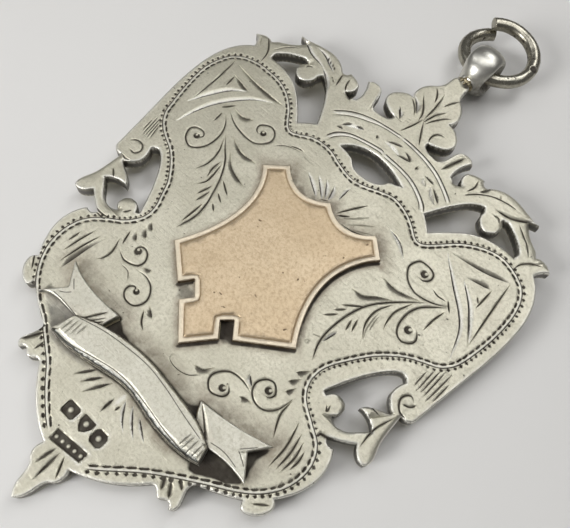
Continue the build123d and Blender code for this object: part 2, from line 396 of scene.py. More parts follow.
# Engraving on the plate, in millimetres from its middle. A stroke's left is seen along its own direction.
strokes = {
    "hair": dict(left=0.07, right=0.07, depth=0.055, dark=0.8, start=0.25, end=0.4),
    "hatch": dict(left=0.075, right=0.075, depth=0.06, dark=1.0, spread=0.7),
    "faint": dict(left=0.08, right=0.08, depth=0.05, dark=0.5, end=0.4),
    "vein": dict(left=0.11, right=0.11, depth=0.10, dark=1.0, start=0.35, end=0.35),
    "scroll": dict(left=0.12, right=0.12, depth=0.10, dark=1.0, start=0.2, end=0.1),
    "leafLeft": dict(left=0.42, right=0.09, depth=0.14, dark=0.68, start=0.7, end=0.25, spread=0.28),
    "brightLeft": dict(left=0.38, right=0.08, depth=0.15, dark=1, start=0.4, end=0.4, spread=2.6,
                       bright=0.95),
    "facetLeft": dict(left=0.60, right=0.07, depth=0.20, dark=0.44, spread=0.3),
    "diamondLeft": dict(left=0.36, right=0.08, depth=0.13, dark=0.35, start=0.4, end=0.4, spread=3, bright=1),
    "tooth": dict(left=0.12, right=0.10, depth=0.10, dark=0.85, start=0.1, end=0.4, spread=0.7),
    "ray": dict(left=0.08, right=0.24, depth=0.10, dark=0.95, end=0.5, spread=2.2, bright=1.0),
    "darkRay": dict(left=0.13, right=0.20, depth=0.11, dark=1.0, start=0.35, end=0.5, spread=0.6),
    "brightRay": dict(left=0.07, right=0.36, depth=0.11, dark=0.75, end=0.4, spread=3.0, bright=1.0),
    "band": dict(left=0.11, right=0.10, depth=0.05, dark=1.0, start=0.05, end=0.1),
    "brightBand": dict(left=0.08, right=0.08, depth=0.03, dark=0.85, start=0.05, end=0.1),
    # a painted highlight strip, with no cut
    "paintedSheen": dict(left=0.2, right=0.2, depth=0.0, dark=0.0, start=0.05, end=0.1, bright=0.7),
    "contour": dict(left=0.08, right=0.08, depth=0.012, dark=0.7, start=0.05, end=0.05, spread=0.8),
    "chisel": dict(left=0.24, right=0.17, depth=0.15, dark=0.95, start=0.25, end=0.25),
    "lens": dict(left=0.27, right=0.08, depth=0.12, dark=0.75, start=0.5, spread=0.35),
}
for kind in ("leaf", "bright", "facet", "diamond"):
    style = strokes[kind + "Left"]
    strokes[kind + "Right"] = dict(style, left=style["right"], right=style["left"])

rightWork = {
    "vein": [
        [(14.2, 11.2), (14.4, 9), (14.8, 5.2)], [(13.5, 9.8), (13.47, 8.8), (13.45, 7.9)],
        [(13, 8.7), (13.4, 8.25)], [(11.6, 6.9), (12.3, 6.1)], [(10.2, 6.75), (10.8, 6.6), (11.6, 6.7)],
        [(9.9, 4.7), (9.4, 3.4), (9.4, 2.4), (9.6, 1.7)],
        [(8.9, 3.6), (8.35, 2.4), (8.4, 1.1), (8.95, 0.1)], [(7.6, 2.1), (6.9, 1.5), (6.2, 0.9)],
        [(6.7, 0.9), (6.1, 0.25)], [(6.5, 0.2), (5.8, -0.6)], [(7.5, 0.6), (7.7, -0.3)],
        [(7.8, 0.9), (8.1, -0.1)], [(12, 5.9), (11.8, 4.9), (11.75, 3.75)],
        [(8.5, -6.8), (8.55, -8), (9.25, -9.35)], [(2.2, 8.5), (1.6, 7.5), (0.9, 6.2)],
        [(1.9, 6.8), (1.1, 6.1)], [(9.85, -7.5), (10.3, -9.2), (10.35, -10.9)],
        [(10.5, -7.9), (10.8, -9.3), (10.8, -10.7)], [(10.95, -8.2), (11.2, -9.3), (11.15, -10.6)],
        [(11.4, -8.6), (11.55, -9.3), (11.5, -10.1)], [(12.1, -12.6), (11.2, -13.3)],
        [(14.3, -2.6), (13.8, -4.2), (13.85, -5.8)], [(11.6, -2.6), (12.6, -3.1), (13.6, -3.2)],
        [(10.35, -5.2), (10.7, -5.6), (10.55, -5.05)],
        [(2.6, 18), (2.05, 17.9), (1.7, 17.5), (1.7, 16.9), (1.9, 16.6)],
        [(0.25, 17.85), (0.8, 16.9), (1.45, 15.75)], [(1.15, 21.75), (0.75, 21.1), (0.5, 20.35)],
        [(1.75, 19.85), (1.2, 19.25), (0.7, 18.4), (0.5, 17.8)],
        [(1.05, 20), (0.6, 19.3), (0.4, 18.6), (0.25, 17.85)], [(7, 16.7), (7.15, 16), (6.9, 15.3)],
        [(15.2, 14.3), (14.4, 13.9), (13.8, 13.2), (13.6, 12.5)],
        [(11.6, 16), (12.5, 15.4), (13.2, 14.9), (13.9, 14.1)], [(10.5, 14.8), (10.2, 15.2), (9.7, 15.1)],
        [(0.5, -15.1), (0.45, -15.6)], [(0.45, -19.75), (1.1, -21)],
    ],
    "hair": [
        [(4.2, 6.6), (3, 6), (1.7, 5.75)],
        [(2.7, -9.9), (2.1, -10.5), (1.2, -10.75), (0.4, -10.6), (0.3, -10.2)],
        [(11.4, 9.1), (13, 7.6), (14.8, 5.1)],
    ],
    "hatch": [
        [(13.85, 1.5), (13.85, 0.1)], [(14.2, 2), (14.2, 0)], [(14.55, 2.3), (14.5, 0.1)],
        [(14.85, 2.4), (14.8, 0)], [(15.3, 2.6), (15.15, -0.2)], [(15.6, 1.9), (15.5, 0.1)],
    ],
    "brightRay": [
        [(4.8, 8.2), (5.7, 8.05), (6.4, 7.65), (7, 7.05)],
    ],
    "scroll": [
        [(12, 6.5), (11, 5.9), (10, 5.6), (9.2, 5.6), (8.4, 6), (7.85, 6.7), (7.8, 7.2), (8.1, 7.8),
         (8.8, 7.95), (9.5, 7.75), (9.65, 7.2), (9.3, 6.75), (8.7, 6.75)],
        [(11.9, 6.3), (11, 5.5), (10.4, 4.8), (10.1, 3.9), (10.15, 2.9), (10.5, 2.2), (11.1, 1.95),
         (11.7, 2.3), (11.85, 2.8), (11.4, 3.4)],
        [(10.4, 5.4), (9.2, 4.2), (8.2, 3.1), (7.5, 2), (7.1, 0.8), (6.9, -0.4), (6.85, -1.6), (7.05, -2.6),
         (7.5, -3.6)],
        [(8.45, -6.7), (8.2, -7.8), (7.6, -8.45), (6.8, -8.6), (6.1, -8.2), (5.85, -7.5), (6.2, -6.85),
         (6.8, -6.7), (7.35, -7.2), (7.2, -7.7), (6.8, -7.75)],
        [(6.1, -8.3), (5, -8.1), (4, -8.3), (3.35, -9), (3.35, -9.7), (4, -10.2), (4.8, -9.9), (5, -9.4),
         (4.6, -8.95)],
        [(14.6, -0.78), (14.2, -0.62), (13.86, -0.85), (13.76, -1.25), (13.95, -1.7), (14.3, -2.02),
         (14.9, -2.12)], [(14.1, -1.47), (14.5, -1.35), (14.75, -1.1), (14.82, -0.88)],
    ],
    "leafLeft": [
        [(9.1, 10.05), (12, 10.6), (14.2, 11.35)], [(11.4, 9.3), (12.5, 9.6), (13.4, 9.85)],
        [(10.2, 5.3), (8.5, 4.75), (7.1, 4.75)], [(9, 4), (7.8, 3.3), (6.9, 2.6), (5.95, 2.45)],
        [(8, -4.3), (7.3, -5.1)], [(7.9, -5.2), (7.35, -5.9)], [(8.1, -5.9), (7.7, -6.6)],
        [(3, -8.9), (2.6, -9.5), (1.95, -9.7)], [(6.6, -8.8), (6.1, -8.85), (5.7, -9.05)],
    ],
    "ray": [
        [(0.5, -14.6), (1.2, -15.5), (1.9, -16.1)], [(1.1, -14.5), (1.9, -15.3), (2.8, -16)],
        [(2, -14.7), (3.4, -15.6)], [(7.4, -0.9), (7.1, -2.1)], [(0.2, 8.6), (0.25, 7.2)],
    ],
    "chisel": [
        [(6, -16), (6.4, -16.8)], [(6.5, -16), (7.1, -16.8)], [(6.8, -15.5), (7.4, -15.9)],
        [(9.6, 15.65), (10.8, 15.9), (11.7, 16.4), (12.3, 16.95)], [(4.9, 17.6), (4.6, 16.8), (4.2, 15.4)],
        [(11.2, -7), (12.2, -6.75)],
    ],
    "facetLeft": [
        [(13, -3.95), (13.6, -3.1), (14.15, -2.35)],
        [(10.6, -5.95), (11.9, -5.75), (12.9, -5.1), (13.65, -4.45)],
    ],
    "faint": [
        [(8.6, 2.3), (8.7, 0.9), (9.05, 0.1)], [(8.75, 2.1), (8.95, 0.9)],
        [(15.05, 14.75), (14.6, 14), (14.3, 13.5)], [(1.5, 6.15), (2.3, 7), (2.95, 7.8)],
        [(2.2, 6.1), (3, 6.9), (3.8, 7.55)], [(3, 6.15), (4, 6.8)], [(8.3, 16.8), (8.25, 17.3)],
        [(9.1, 17), (9.4, 16.6)], [(6.3, -2.2), (6.9, -1.9)],
    ],
    "band": [
        [(0, 15.45), (1.2, 15.45), (3, 15.2), (4.5, 14.7), (6, 13.9), (6.7, 13.4)],
        [(0, 13.15), (2, 13.05), (3.5, 12.7), (5, 11.9), (5.7, 11.2)],
        [(6.95, 14.85), (7.7, 15.7), (8.7, 16.4), (9.8, 16.75), (10.8, 16.85)],
    ],
    "brightBand": [
        [(6.4, 13.2), (5.8, 13.65), (4.4, 14.4), (2.9, 14.9), (1.2, 15.15), (0, 15.2)],
        [(5.3, 11.1), (4.7, 11.7), (3.3, 12.45), (1.9, 12.75), (0, 12.85)],
    ],
    "lens": [
        [(-0.8, 14.1), (0, 14.45), (0.75, 14.72)], [(2.65, 14.2), (2.65, 13.75)],
        [(3.5, 13.92), (4.7, 13.75)], [(4.7, 13.6), (6, 12.6)], [(0.6, 13.7), (2.1, 14.05)],
        [(0.95, 14.5), (1.5, 14.3), (2.05, 14)], [(8.2, 17.1), (7.95, 16.5), (7.7, 16)],
    ],
    "paintedSheen": [
        [(0, 15.32), (1.2, 15.3), (2.95, 15.05), (4.45, 14.55), (5.9, 13.78), (6.5, 13.3)],
        [(0, 13), (1.95, 12.9), (3.4, 12.58), (4.85, 11.8), (5.5, 11.15)], [(0.2, -14.35), (0.15, -15.3)],
    ],
    "diamondRight": [
        [(0.9, 13.85), (0.1, 13.95), (-0.7, 14)], [(3.7, 13.7), (4.3, 13.2)], [(4.6, 13.5), (5.8, 12.4)],
    ],
    "brightRight": [
        [(14.4, 3.5), (13.6, 5.6), (12.6, 6.8), (11.2, 8), (9.2, 9.8)],
        [(14.7, 5.4), (13, 7.6), (11.5, 8.9)], [(5.15, -7.45), (5.8, -7.95)],
    ],
}
leftWork = {
    "vein": [
        [(-14.95, 10.9), (-14.7, 8.5), (-14.57, 5.5)], [(-13.8, 9.6), (-13.67, 8.4)],
        [(-11.6, 7.65), (-12.35, 6.6)], [(-11.9, 6.3), (-11.77, 5.25)],
        [(-9.9, 4.5), (-9.4, 3.45), (-9.23, 2.2), (-9.5, 1.15)],
        [(-8.35, 2.8), (-8.13, 1.6), (-8.13, 0.9), (-8.4, 0.25)], [(-8.6, 2.9), (-8.6, 2), (-8.35, 1.2)],
        [(-7.3, 1.95), (-6.05, 1.2)], [(-6.75, 0.9), (-5.95, 0.4)], [(-6.35, -0.05), (-5.8, -0.5)],
        [(-7.5, 0.95), (-7.8, -0.35)], [(-7.25, 0.5), (-7.45, -0.8)], [(-6.87, -0.7), (-6.87, -2.8)],
        [(-8.9, -6.1), (-8.7, -6.7), (-8.5, -7.2)],
        [(-8.95, -7.1), (-8.6, -8.1), (-8.6, -8.8), (-8.85, -9.3)],
        [(-10.1, -8), (-10.4, -9.15), (-10.6, -11.2)], [(-10.7, -7.9), (-10.96, -9.15), (-11.08, -10.5)],
        [(-11.4, -8.8), (-11.5, -9.85)], [(-3.5, -9.5), (-3, -10.2), (-2.4, -10.55)],
        [(-12.4, -12.15), (-11.5, -13.1)], [(-13.96, -3.45), (-13.3, -4)],
        [(-12.35, -6.6), (-11.6, -6.65), (-10.85, -6.5)], [(-12, -6.85), (-11.3, -6.85), (-10.9, -6.75)],
        [(-10.15, -4.85), (-10.5, -5.45)], [(-6.9, 16.6), (-6.75, 15.9), (-6.35, 15.35)],
        [(-7.7, 16.6), (-7.3, 15.2)], [(-15.1, 14.95), (-14.3, 14.2), (-13.7, 13.4), (-13.4, 12.3)],
        [(-10.4, 14.7), (-10.3, 15.1), (-9.9, 15.2)],
        [(-1.5, 20), (-0.8, 19.2), (-0.3, 18.4), (-0.15, 17.6)],
        [(-1.15, 21.5), (-0.6, 20.8), (-0.3, 20.1)],
        [(-0.2, 21.3), (-0.05, 20.4), (0.06, 19.4), (0.1, 18.2)],
        [(0.02, 18), (-0.1, 17.2), (-0.55, 15.75)], [(-2, 19.1), (-1.2, 18.5), (-0.8, 17.9)],
        [(-2.2, 17.7), (-1.7, 17.15), (-1.35, 16.6)], [(-6.6, -15.85), (-6.63, -16.65)],
        [(-5.9, 8), (-5.2, 8.35), (-4.65, 8.45)], [(-14.5, -2.12), (-14, -2.22), (-13.6, -2.02)],
    ],
    "hair": [
        [(-6.75, 7.1), (-6, 7.85), (-4.7, 8.3)], [(-7.3, -8.3), (-6.6, -8.35), (-6, -8.9)],
        [(-0.8, 6.2), (-0.2, 6.6)], [(-12.2, 15.9), (-12.9, 15.2), (-13.55, 14.1)],
    ],
    "hatch": [
        [(-15.15, 2.3), (-14.75, 0.2)], [(-14.95, 2.3), (-14.5, 0.15)], [(-14.7, 2), (-14.3, 0.25)],
        [(-14.45, 1.7), (-14.1, 0.4)], [(-15.3, 1.8), (-15.05, 0.5)],
    ],
    "scroll": [
        [(-11.55, 6.87), (-10.6, 6.35), (-9.46, 6.06), (-8.3, 6.06), (-7.6, 6.45), (-7.2, 7.25),
         (-7.5, 7.95), (-8.08, 8.25), (-8.65, 8), (-8.94, 7.55), (-8.7, 7.1), (-8.2, 7.04)],
        [(-11.6, 6.4), (-10.96, 5.77), (-10.5, 4.85), (-10.38, 3.7), (-10.67, 2.77), (-11.4, 2.2),
         (-12.2, 2.54), (-12.6, 3.3), (-12.3, 3.8), (-11.65, 3.92), (-11.3, 3.58), (-11.7, 3.1)],
        [(-10.15, 4.96), (-9.23, 4.04), (-8.4, 3.23), (-7.6, 1.96), (-7.04, 0.7), (-6.63, -0.58),
         (-6.5, -1.85), (-6.75, -3.35)],
        [(-8.3, -7.65), (-7.6, -7.94), (-6.9, -7.83), (-6.4, -7.5), (-6.3, -6.96), (-6.63, -6.44),
         (-7.15, -6.27), (-7.5, -6.56), (-7.38, -7), (-7, -7)],
        [(-6.1, -7.77), (-5.3, -7.7), (-4.5, -8), (-3.98, -8.7), (-3.98, -9.38), (-4.4, -9.85),
         (-5.08, -9.9), (-5.6, -9.56), (-5.65, -9.04), (-5.3, -8.75), (-4.96, -9.15)],
        [(-15, -0.8), (-14.54, -0.42), (-13.96, -0.46), (-13.67, -0.92), (-13.9, -1.38), (-14.4, -1.4)],
    ],
    "leafRight": [
        [(-14.3, 10.7), (-12, 10.38), (-9.1, 10.45)], [(-13.9, 9.7), (-12.9, 9.5), (-12, 9.35)],
        [(-11.3, 7.27), (-10.5, 7.2), (-9.75, 7.6)], [(-9.7, 5.3), (-8.2, 4.75), (-6.7, 4.85)],
        [(-8.8, 4.15), (-7.6, 3.2), (-5.9, 2.7)], [(-8.6, -5.8), (-8, -6.35)],
        [(-8.45, -4.4), (-7.8, -4.95)], [(-8.4, -5.05), (-7.65, -5.7)], [(-6, -7.4), (-5.4, -7.1)],
        [(-3.5, -9), (-2.65, -9.5)], [(-9.63, -7.65), (-9.92, -8.8), (-10.05, -10.1), (-10.15, -11.7)],
    ],
    "brightLeft": [
        [(-13, 17.05), (-12, 16.65), (-11.2, 16.2), (-10.3, 16), (-9.3, 15.85)],
        [(-9.3, 15.75), (-8.5, 15.2), (-7.5, 14.4)], [(-11, 17.1), (-10, 16.85), (-9, 16.35), (-8.4, 16.1)],
        [(-1.9, 19.4), (-1.2, 18.75), (-0.75, 18.1)], [(-2.05, 17.4), (-1.6, 16.95), (-1.45, 16.7)],
        [(-14.6, 5.1), (-13.85, 6.8), (-13.05, 8.2), (-12, 9.25)],
        [(-13.85, 3.1), (-13.5, 4.7), (-13, 6.2), (-12.2, 7.6), (-11.1, 9), (-9.8, 10)],
    ],
    "paintedSheen": [
        [(0, 15.32), (-1.82, 15.08), (-3.1, 14.7), (-4.5, 14), (-5.65, 13)],
        [(0, 13), (-0.7, 13.05), (-2.9, 12.48), (-3.95, 11.7), (-4.35, 10.85)],
    ],
    "diamondLeft": [
        [(-4.2, 12.75), (-3.4, 13.2), (-2.8, 13.45)],
    ],
    "darkRay": [
        [(-2.5, -14.6), (-3.4, -15.85)], [(-1.8, -14.6), (-2.65, -15.85)], [(-1.1, -14.5), (-2, -16.2)],
        [(-0.17, -15.05), (-0.17, -16.3)], [(0.05, -19.85), (0.12, -22)], [(-0.35, -19.8), (-0.6, -21.2)],
    ],
    "brightRay": [
        [(-0.8, 6.3), (-2.35, 7.7)], [(-0.6, 6.5), (-1.6, 7.85)], [(-0.35, 6.6), (-0.8, 7.85)],
        [(-1.2, 6.1), (-3.1, 7.3)],
    ],
    "chisel": [
        [(-7.95, -15.6), (-7.4, -15.05)], [(-7.15, -15.4), (-7.85, -16.8)],
    ],
    "faint": [
        [(-4.2, 17.5), (-4, 16.6), (-3.7, 15.4)], [(-3.6, 17.3), (-3.5, 16.2)],
        [(-0.9, 17.2), (-0.5, 17.3)], [(-0.9, 16.9), (-0.45, 17)],
        [(-2.1, 16.75), (-1.3, 16.55), (-0.9, 16.6)], [(-15.3, 14.3), (-14.7, 13.6)],
    ],
    "facetRight": [
        [(-10.4, -5.95), (-11.8, -5.8), (-12.9, -5.2), (-13.7, -4.2)],
        [(-15, -2.8), (-15.2, -4.5), (-15.4, -6.4)],
    ],
    "tooth": [
        [(-9.75, 17.05), (-9.5, 16.65)], [(-9.4, 16.95), (-9.15, 16.55)], [(-9.05, 16.8), (-8.8, 16.45)],
        [(-8.75, 16.65), (-8.5, 16.3)], [(-8.2, 15.75), (-8, 15.5)], [(-7.9, 15.55), (-7.7, 15.3)],
    ],
    "band": [
        [(-5.8, 13.15), (-4.6, 14.2), (-3.2, 14.9), (-1.85, 15.2), (0, 15.45)],
        [(-4.5, 10.9), (-4.1, 11.8), (-3, 12.6), (-0.7, 13.2), (0, 13.15)],
    ],
    "brightBand": [
        [(0, 15.2), (-1.8, 14.95), (-3, 14.5), (-4.4, 13.8), (-5.5, 12.85)],
        [(0, 12.85), (-0.7, 12.9), (-2.8, 12.35), (-3.8, 11.6), (-4.2, 10.8)],
    ],
    "lens": [
        [(-4.4, 12.5), (-3.7, 13.4)], [(-3.5, 13.4), (-2.65, 13.62)], [(-4.6, 12.2), (-3.9, 12.45)],
        [(-1.56, 14.1), (-1.5, 13.73)],
    ],
}

# The border's inner line, from the middle of the crown down to the foot, on each side
borderRight = [(0, 9.15), (1, 9.45), (2, 9.9), (3.2, 10.3), (4.5, 10.05), (5.4, 9.6), (6.5, 8.8), (7, 8.68),
               (7.5, 8.85), (8.1, 9.4), (8.7, 10.1), (9.3, 10.8), (10, 11.4), (11, 12), (12.1, 12.35),
               (13.1, 12.3), (14.2, 11.9), (14.9, 11.4), (15.4, 10.5), (15.65, 9), (15.6, 7), (15.3, 5),
               (14.9, 3.5), (14.2, 2.6), (13, 2), (11.8, 1.3), (10.3, -0.1), (9, -2), (8.35, -3.2),
               (8.15, -4.2), (8.3, -5.2), (9, -6.2), (10.4, -7.1), (11.6, -7.9), (12.15, -9.2),
               (11.95, -10.8), (11.1, -12.2), (9.8, -13.3), (8, -14.4), (6, -15.7), (4.5, -16.8),
               (2.5, -18.55), (1.6, -19.25)]
borderLeft = [(0.1, 9.15), (-0.4, 9.15), (-1, 9.23), (-2.1, 9.5), (-3.2, 9.87), (-4.15, 9.92), (-5.1, 9.7),
              (-5.9, 9.2), (-6.63, 8.83), (-7.27, 9), (-7.85, 9.6), (-8.5, 10.4), (-9.2, 11), (-10, 11.5),
              (-11.1, 11.83), (-12.2, 11.88), (-13.4, 11.83), (-14.4, 11.5), (-15, 11.1), (-15.5, 10.5),
              (-15.87, 9.35), (-16, 8.3), (-15.87, 7.04), (-15.65, 5.9), (-15.45, 5), (-15.2, 4.1),
              (-14.94, 3.2), (-14.4, 2.4), (-13.7, 1.85), (-12.9, 1.44), (-12.2, 1.1), (-11.4, 0.5),
              (-10.6, -0.3), (-9.9, -1.2), (-9.35, -2.35), (-8.95, -3.27), (-8.83, -4.2), (-9.1, -5.1),
              (-9.8, -6.04), (-10.6, -6.67), (-11.4, -7.4), (-11.94, -8.2), (-12.17, -9.15),
              (-12.17, -10.1), (-11.94, -11.1), (-11.4, -12.15), (-10.6, -13.1), (-9.7, -13.8),
              (-8.9, -14.25), (-7.96, -14.65), (-7.04, -15.25), (-6, -15.9), (-5.1, -16.5), (-4.15, -17.35),
              (-3.2, -18.1), (-2.3, -18.75), (-1.45, -19.25)]

plate = dict(
    edgeRound=0.16, leafRound=0.62, leafFlatter=0.35, highest=0.03,
    broadWave=(4.0, 0.03), fineWave=(0.9, 0.010, 5.0), raggedWave=(0.55, 0.6, 12.0),
    leaves=dict(crown=(13.0, 0.8), crownMiddle=(5.5, 2.4, 0.25), side=(10.2, 0.6), sideSpan=(-6.5, -2.2),
                lean=(0.5, 0.9)),
    dashes=dict(pitch=0.60, length=0.57, offset=0.0, half=0.125, depth=0.09, lean=4.0, taper=0.12),
    teeth=dict(pitch=0.45, length=0.29, offset=0.42, half=0.19, depth=0.10, lean=0.0, taper=0.06),
    # the last column of the border lines is a painted highlight
    borderLines=[(0.27, 0.07, 0.035, 0.95, 0), (0.16, 0.09, 0, 0, 0.55)],  # offset, half, depth, dark, bright
    varySize=(0.88, 1.1), varyDepth=(0.8, 1.1), varyPitch=(0.95, 1.05), footBelow=-13.5, footStretch=1.35,
    curlEnds=[(9.03, 7.22, 0.36), (10.95, 2.95, 0.36), (6.85, -7.35, 0.32), (4.45, -9.45, 0.30),
              (-8.15, 7.3, 0.30), (-11.68, 3.25, 0.30), (-7.25, -6.75, 0.32), (-4.95, -8.95, 0.28)],
    curlDepth=0.12, curlBead=0.15, curlFades=(0.4, 0.35), curlBeadRim=(0.9, 0.2), curlBeadAt=(0.25, 0.3, 0.52),
    pip=(6.3, -2.9, 0.15), pipHeight=0.07, pipDark=0.5, pipSeam=(1.2, 1.15, 0.3),
    shieldTopFrom=5.0, stainUpper=-12.6, stainReach=(0.6, 1.2), stainShare=(0.55, 0.1),
    brownishBelow=-13.8, brownishSpan=(0.4, 5.2), seamAbove=(-13.0, 0.03), seamMiddle=0.3, seamHalf=5.6,
    footSeamBelow=-13.4, footSeamSpan=(-4.2, 6.5), seamFade=1.5, rightLean=(0.75, 0.66), rightGain=1.5,
    topGain=2.0, topLoss=0.4, stripBelow=-14.0, stripSpan=(-7.0, -2.6),
    # grime patches; the two at the shield's lower notches are painted shade
    grimeAndShade=[(0.4, 23.55, 0.5, 0.75), (-0.25, 23.65, 0.35, 0.6), (0.9, 22.9, 0.3, 0.5), (-2.5, -6.55, 0.9, 0.5),
           (1.8, -6.5, 1.0, 0.95), (-2.3, 5.6, 0.6, 0.4), (-3.4, 5.9, 0.5, 0.4), (-1.2, 5.7, 0.5, 0.4),
           (3.0, 5.9, 0.5, 0.3), (1.2, 6.0, 0.5, 0.3)], grimeGain=2.2,
    # painted shadow of the ribbon's tails on the plate, with some tarnish, in shallow dips
    shadowHollows=[
        [(6.5, -12.4), (8.2, -12.3), (9.9, -12.6), (9.95, -13.05), (9.2, -13.75), (8.2, -14.2),
         (7.3, -14.75), (6.7, -14.9), (6.3, -14.4)],
        [(8.5, -11.35), (9.3, -10.2), (9.75, -9.8), (9.85, -10.4), (9.6, -11.2), (9.75, -11.9),
         (10.05, -12.7), (9.5, -12.7)],
        [(1.6, -11.75), (3, -11.82), (3.7, -11.6), (4.3, -11.15), (5.2, -12), (4.9, -12.4), (3.4, -12.2)],
        [(-5, -10.9), (-4, -11.05), (-3.3, -11.45), (-2, -11.62), (-1.6, -11.8), (-3.4, -12.2), (-5, -12.7)]],
    hollowEdge=0.3, hollowDeep=0.12, hollowCalm=0.4, hollowRagged=0.25,
    fillet=[(-9.7, -12.9), (-6.3, -12.9), (-6.1, -15.1), (-7.1, -15), (-7.96, -14.42), (-8.9, -13.97),
            (-9.6, -13.6)],
    filletHeight=0.2, filletReach=1.0, filletPower=1.5, filletShade=0.85, filletEdge=0.15,
    filletTone=0.66, filletFrom=-9.0, filletFade=7.0, filletRagged=0.5,
)
# Tones that fade with distance: full share, the value at the edge before it is cut off at 1, and the reach
tones = dict(
    stainLow=(0.75, 1.1, 0.5), stainTop=(0.75, 1.1, 1.3), brownish=(0.75, 1.1, 0.8),
    # the ribbon, foot and shield-right tones are painted shade and shadow
    ribbonTopShadeAndGrime=(0.85, 1, 0.32), ribbonFootShade=(0.7, 1.25, 0.2), shieldRightShadow=(0.95, 1.3, 0.24),
    shieldTop=(0.5, 1.3, 0.17), shadeStrip=(0.7, 1.35, 0.34), edgeWear=(1, 1.2, 0.2),
    ribbonWear=(1, 1, 0.14), shieldRim=(0.6, 1, 0.06),
)


def tone(name, distance):
    share, start, reach = tones[name]
    return share * unit(start - distance / reach)


def cutCorners(width, height, flat, side):
    return [(-flat, height), (flat, height), (width, side), (width, -side),
            (flat, -height), (-flat, -height), (-width, -side), (-width, side)]


# Four small punched fields with plain beads, each bead with its place and radius
marks = dict(depth=0.12, wall=0.07, halfHeight=0.5, step=0.075, lineStep=0.09, rim=0.13, rimStart=1.3,
             lean=0.12, leanGain=4, beadHeight=0.10, gridHalf=(1.4, 0.6), gridInset=0.94,
             area=(2.2, -20.2, -16.6), fineArea=(2.3, -20.0, -16.8), fields=[
    dict(at=(-1.65, -17.55), outline=cutCorners(0.62, 0.52, 0.45, 0.33), beads=[(0, 0, 0.27)]),
    dict(at=(-0.2, -17.5), beads=[(0, 0.05, 0.27)],
         outline=[(-0.55, 0.52), (0.55, 0.52), (0.55, 0), (0.32, -0.4),
                  (0, -0.62), (-0.32, -0.4), (-0.55, 0)]),
    dict(at=(1.1, -17.5), outline=cutCorners(0.55, 0.57, 0.33, 0.33), beads=[(0, 0, 0.27)]),
    dict(at=(0.05, -19.15), outline=[(-1.35, 0.30), (1.38, 0.60), (1.38, -0.22), (-1.3, -0.60)],
         beads=[(-1, -0.14, 0.19), (-0.48, -0.07, 0.19), (0.04, 0, 0.19), (0.56, 0.07, 0.19),
                (1.08, 0.14, 0.19)]),
])


def curlBead(x, y, radius):
    # the round end of a scroll sits a little up and outwards in its hollow
    outwards, up, size = plate["curlBeadAt"]
    return x + outwards * radius * np.sign(x), y + up * radius, size * radius


def borderCuts(points, outward):
    # a row of long dashes, then a fine line with square teeth on its outer side; both open out at the foot
    cuts, dice = [], random.Random(3)
    path = smoothPath(points, 0.05)
    run, side = runOf(path), leftOf(path) * outward

    def spot(s, offset=0.0):
        return readAt(path + side * offset, run, s)

    def addRow(pitch, length, offset, half, depth, lean, taper):
        s = 0.1
        while s < run[-1] - length:
            stretch = plate["footStretch"] if spot(s)[1] < plate["footBelow"] else 1.0
            reach = length * stretch * dice.uniform(*plate["varySize"])
            swing = math.tan(math.radians(lean)) * reach / 2
            wide = half * dice.uniform(*plate["varySize"])
            middle = [spot(s, offset - swing), spot(s + reach / 2, offset), spot(s + reach, offset + swing)]
            deep = depth * dice.uniform(*plate["varyDepth"])
            cuts.append(Cut(middle, wide, wide, deep, 1.0, start=taper, end=taper, step=0.13, spread=0.4))
            s += pitch * stretch * dice.uniform(*plate["varyPitch"])

    addRow(**plate["dashes"])
    addRow(**plate["teeth"])
    for offset, half, depth, dark, bright in plate["borderLines"]:
        middle = (path + side * offset)[::6]
        cuts.append(Cut(middle, half, half, depth, dark, start=0.01, end=0.01, step=0.25, bright=bright))
    return cuts


def handCuts(work, shake=0.015):
    cuts, dice = [], random.Random(5)
    for style, paths in work.items():
        for path in paths:
            shaken = [(x + dice.uniform(-shake, shake), y + dice.uniform(-shake, shake)) for x, y in path]
            cuts.append(Cut(shaken, **strokes[style]))
    return cuts


outlineStep = 0.14
plateTop = boxOf("base_plate")[1][2]
shieldLow, shieldHigh = boxOf("cartouche")
ribbonLow, ribbonHigh = boxOf("ribbon_banner")
plateLoops = evenLoops(faceLoops("base_plate", plateTop), outlineStep)
shieldLoops = evenLoops(faceLoops("cartouche", shieldHigh[2]), outlineStep)
# the ribbon's underside is seen from below, so its outline is turned round
ribbonLoops = evenLoops([loop[::-1] for loop in faceLoops("ribbon_banner", ribbonLow[2])], outlineStep)
bandLoops = faceLoops("ribbon_banner", ribbonHigh[2])
shieldEdge = EdgeFinder(shieldLoops, step=0.1)
ribbonEdge = EdgeFinder(ribbonLoops, step=0.1)
bandEdge = EdgeFinder(bandLoops, step=0.05)
print("outlines read:", [len(loop) for loop in plateLoops + shieldLoops + ribbonLoops + bandLoops])

plateCuts = borderCuts(borderRight, 1) + borderCuts(borderLeft, -1)
plateCuts += handCuts(rightWork) + handCuts(leftWork)


def inArea(x, y, half, low, high):
    return (abs(x) < half) & (y > low) & (y < high)


def punchMarks(xy, drop, dark, freshAndHighlight):
    for field in marks["fields"]:
        cx, cy = field["at"]
        far, inside = patchOf(xy, np.array(field["outline"]) + field["at"], step=0.03)
        wall = unit(far / marks["wall"])
        sunk = wall * marks["depth"]
        for bx, by, radius in field["beads"]:
            sunk -= marks["beadHeight"] * np.sqrt(unit(1 - toSpot(xy, cx + bx, cy + by) / radius))
        drop[inside] = sunk[inside]
        dark[inside] = np.maximum(dark, wall * unit(sunk / marks["depth"]))[inside]
        # each field is lighter in a thin band just outside it, on its right side
        toRight = toSpot(xy, cx - marks["lean"], cy) - toSpot(xy, cx + marks["lean"], cy)
        rim = unit(marks["rimStart"] - far / marks["rim"])
        freshAndHighlight[:] = np.maximum(freshAndHighlight, rim * unit(marks["leanGain"] * toRight) * ~inside)


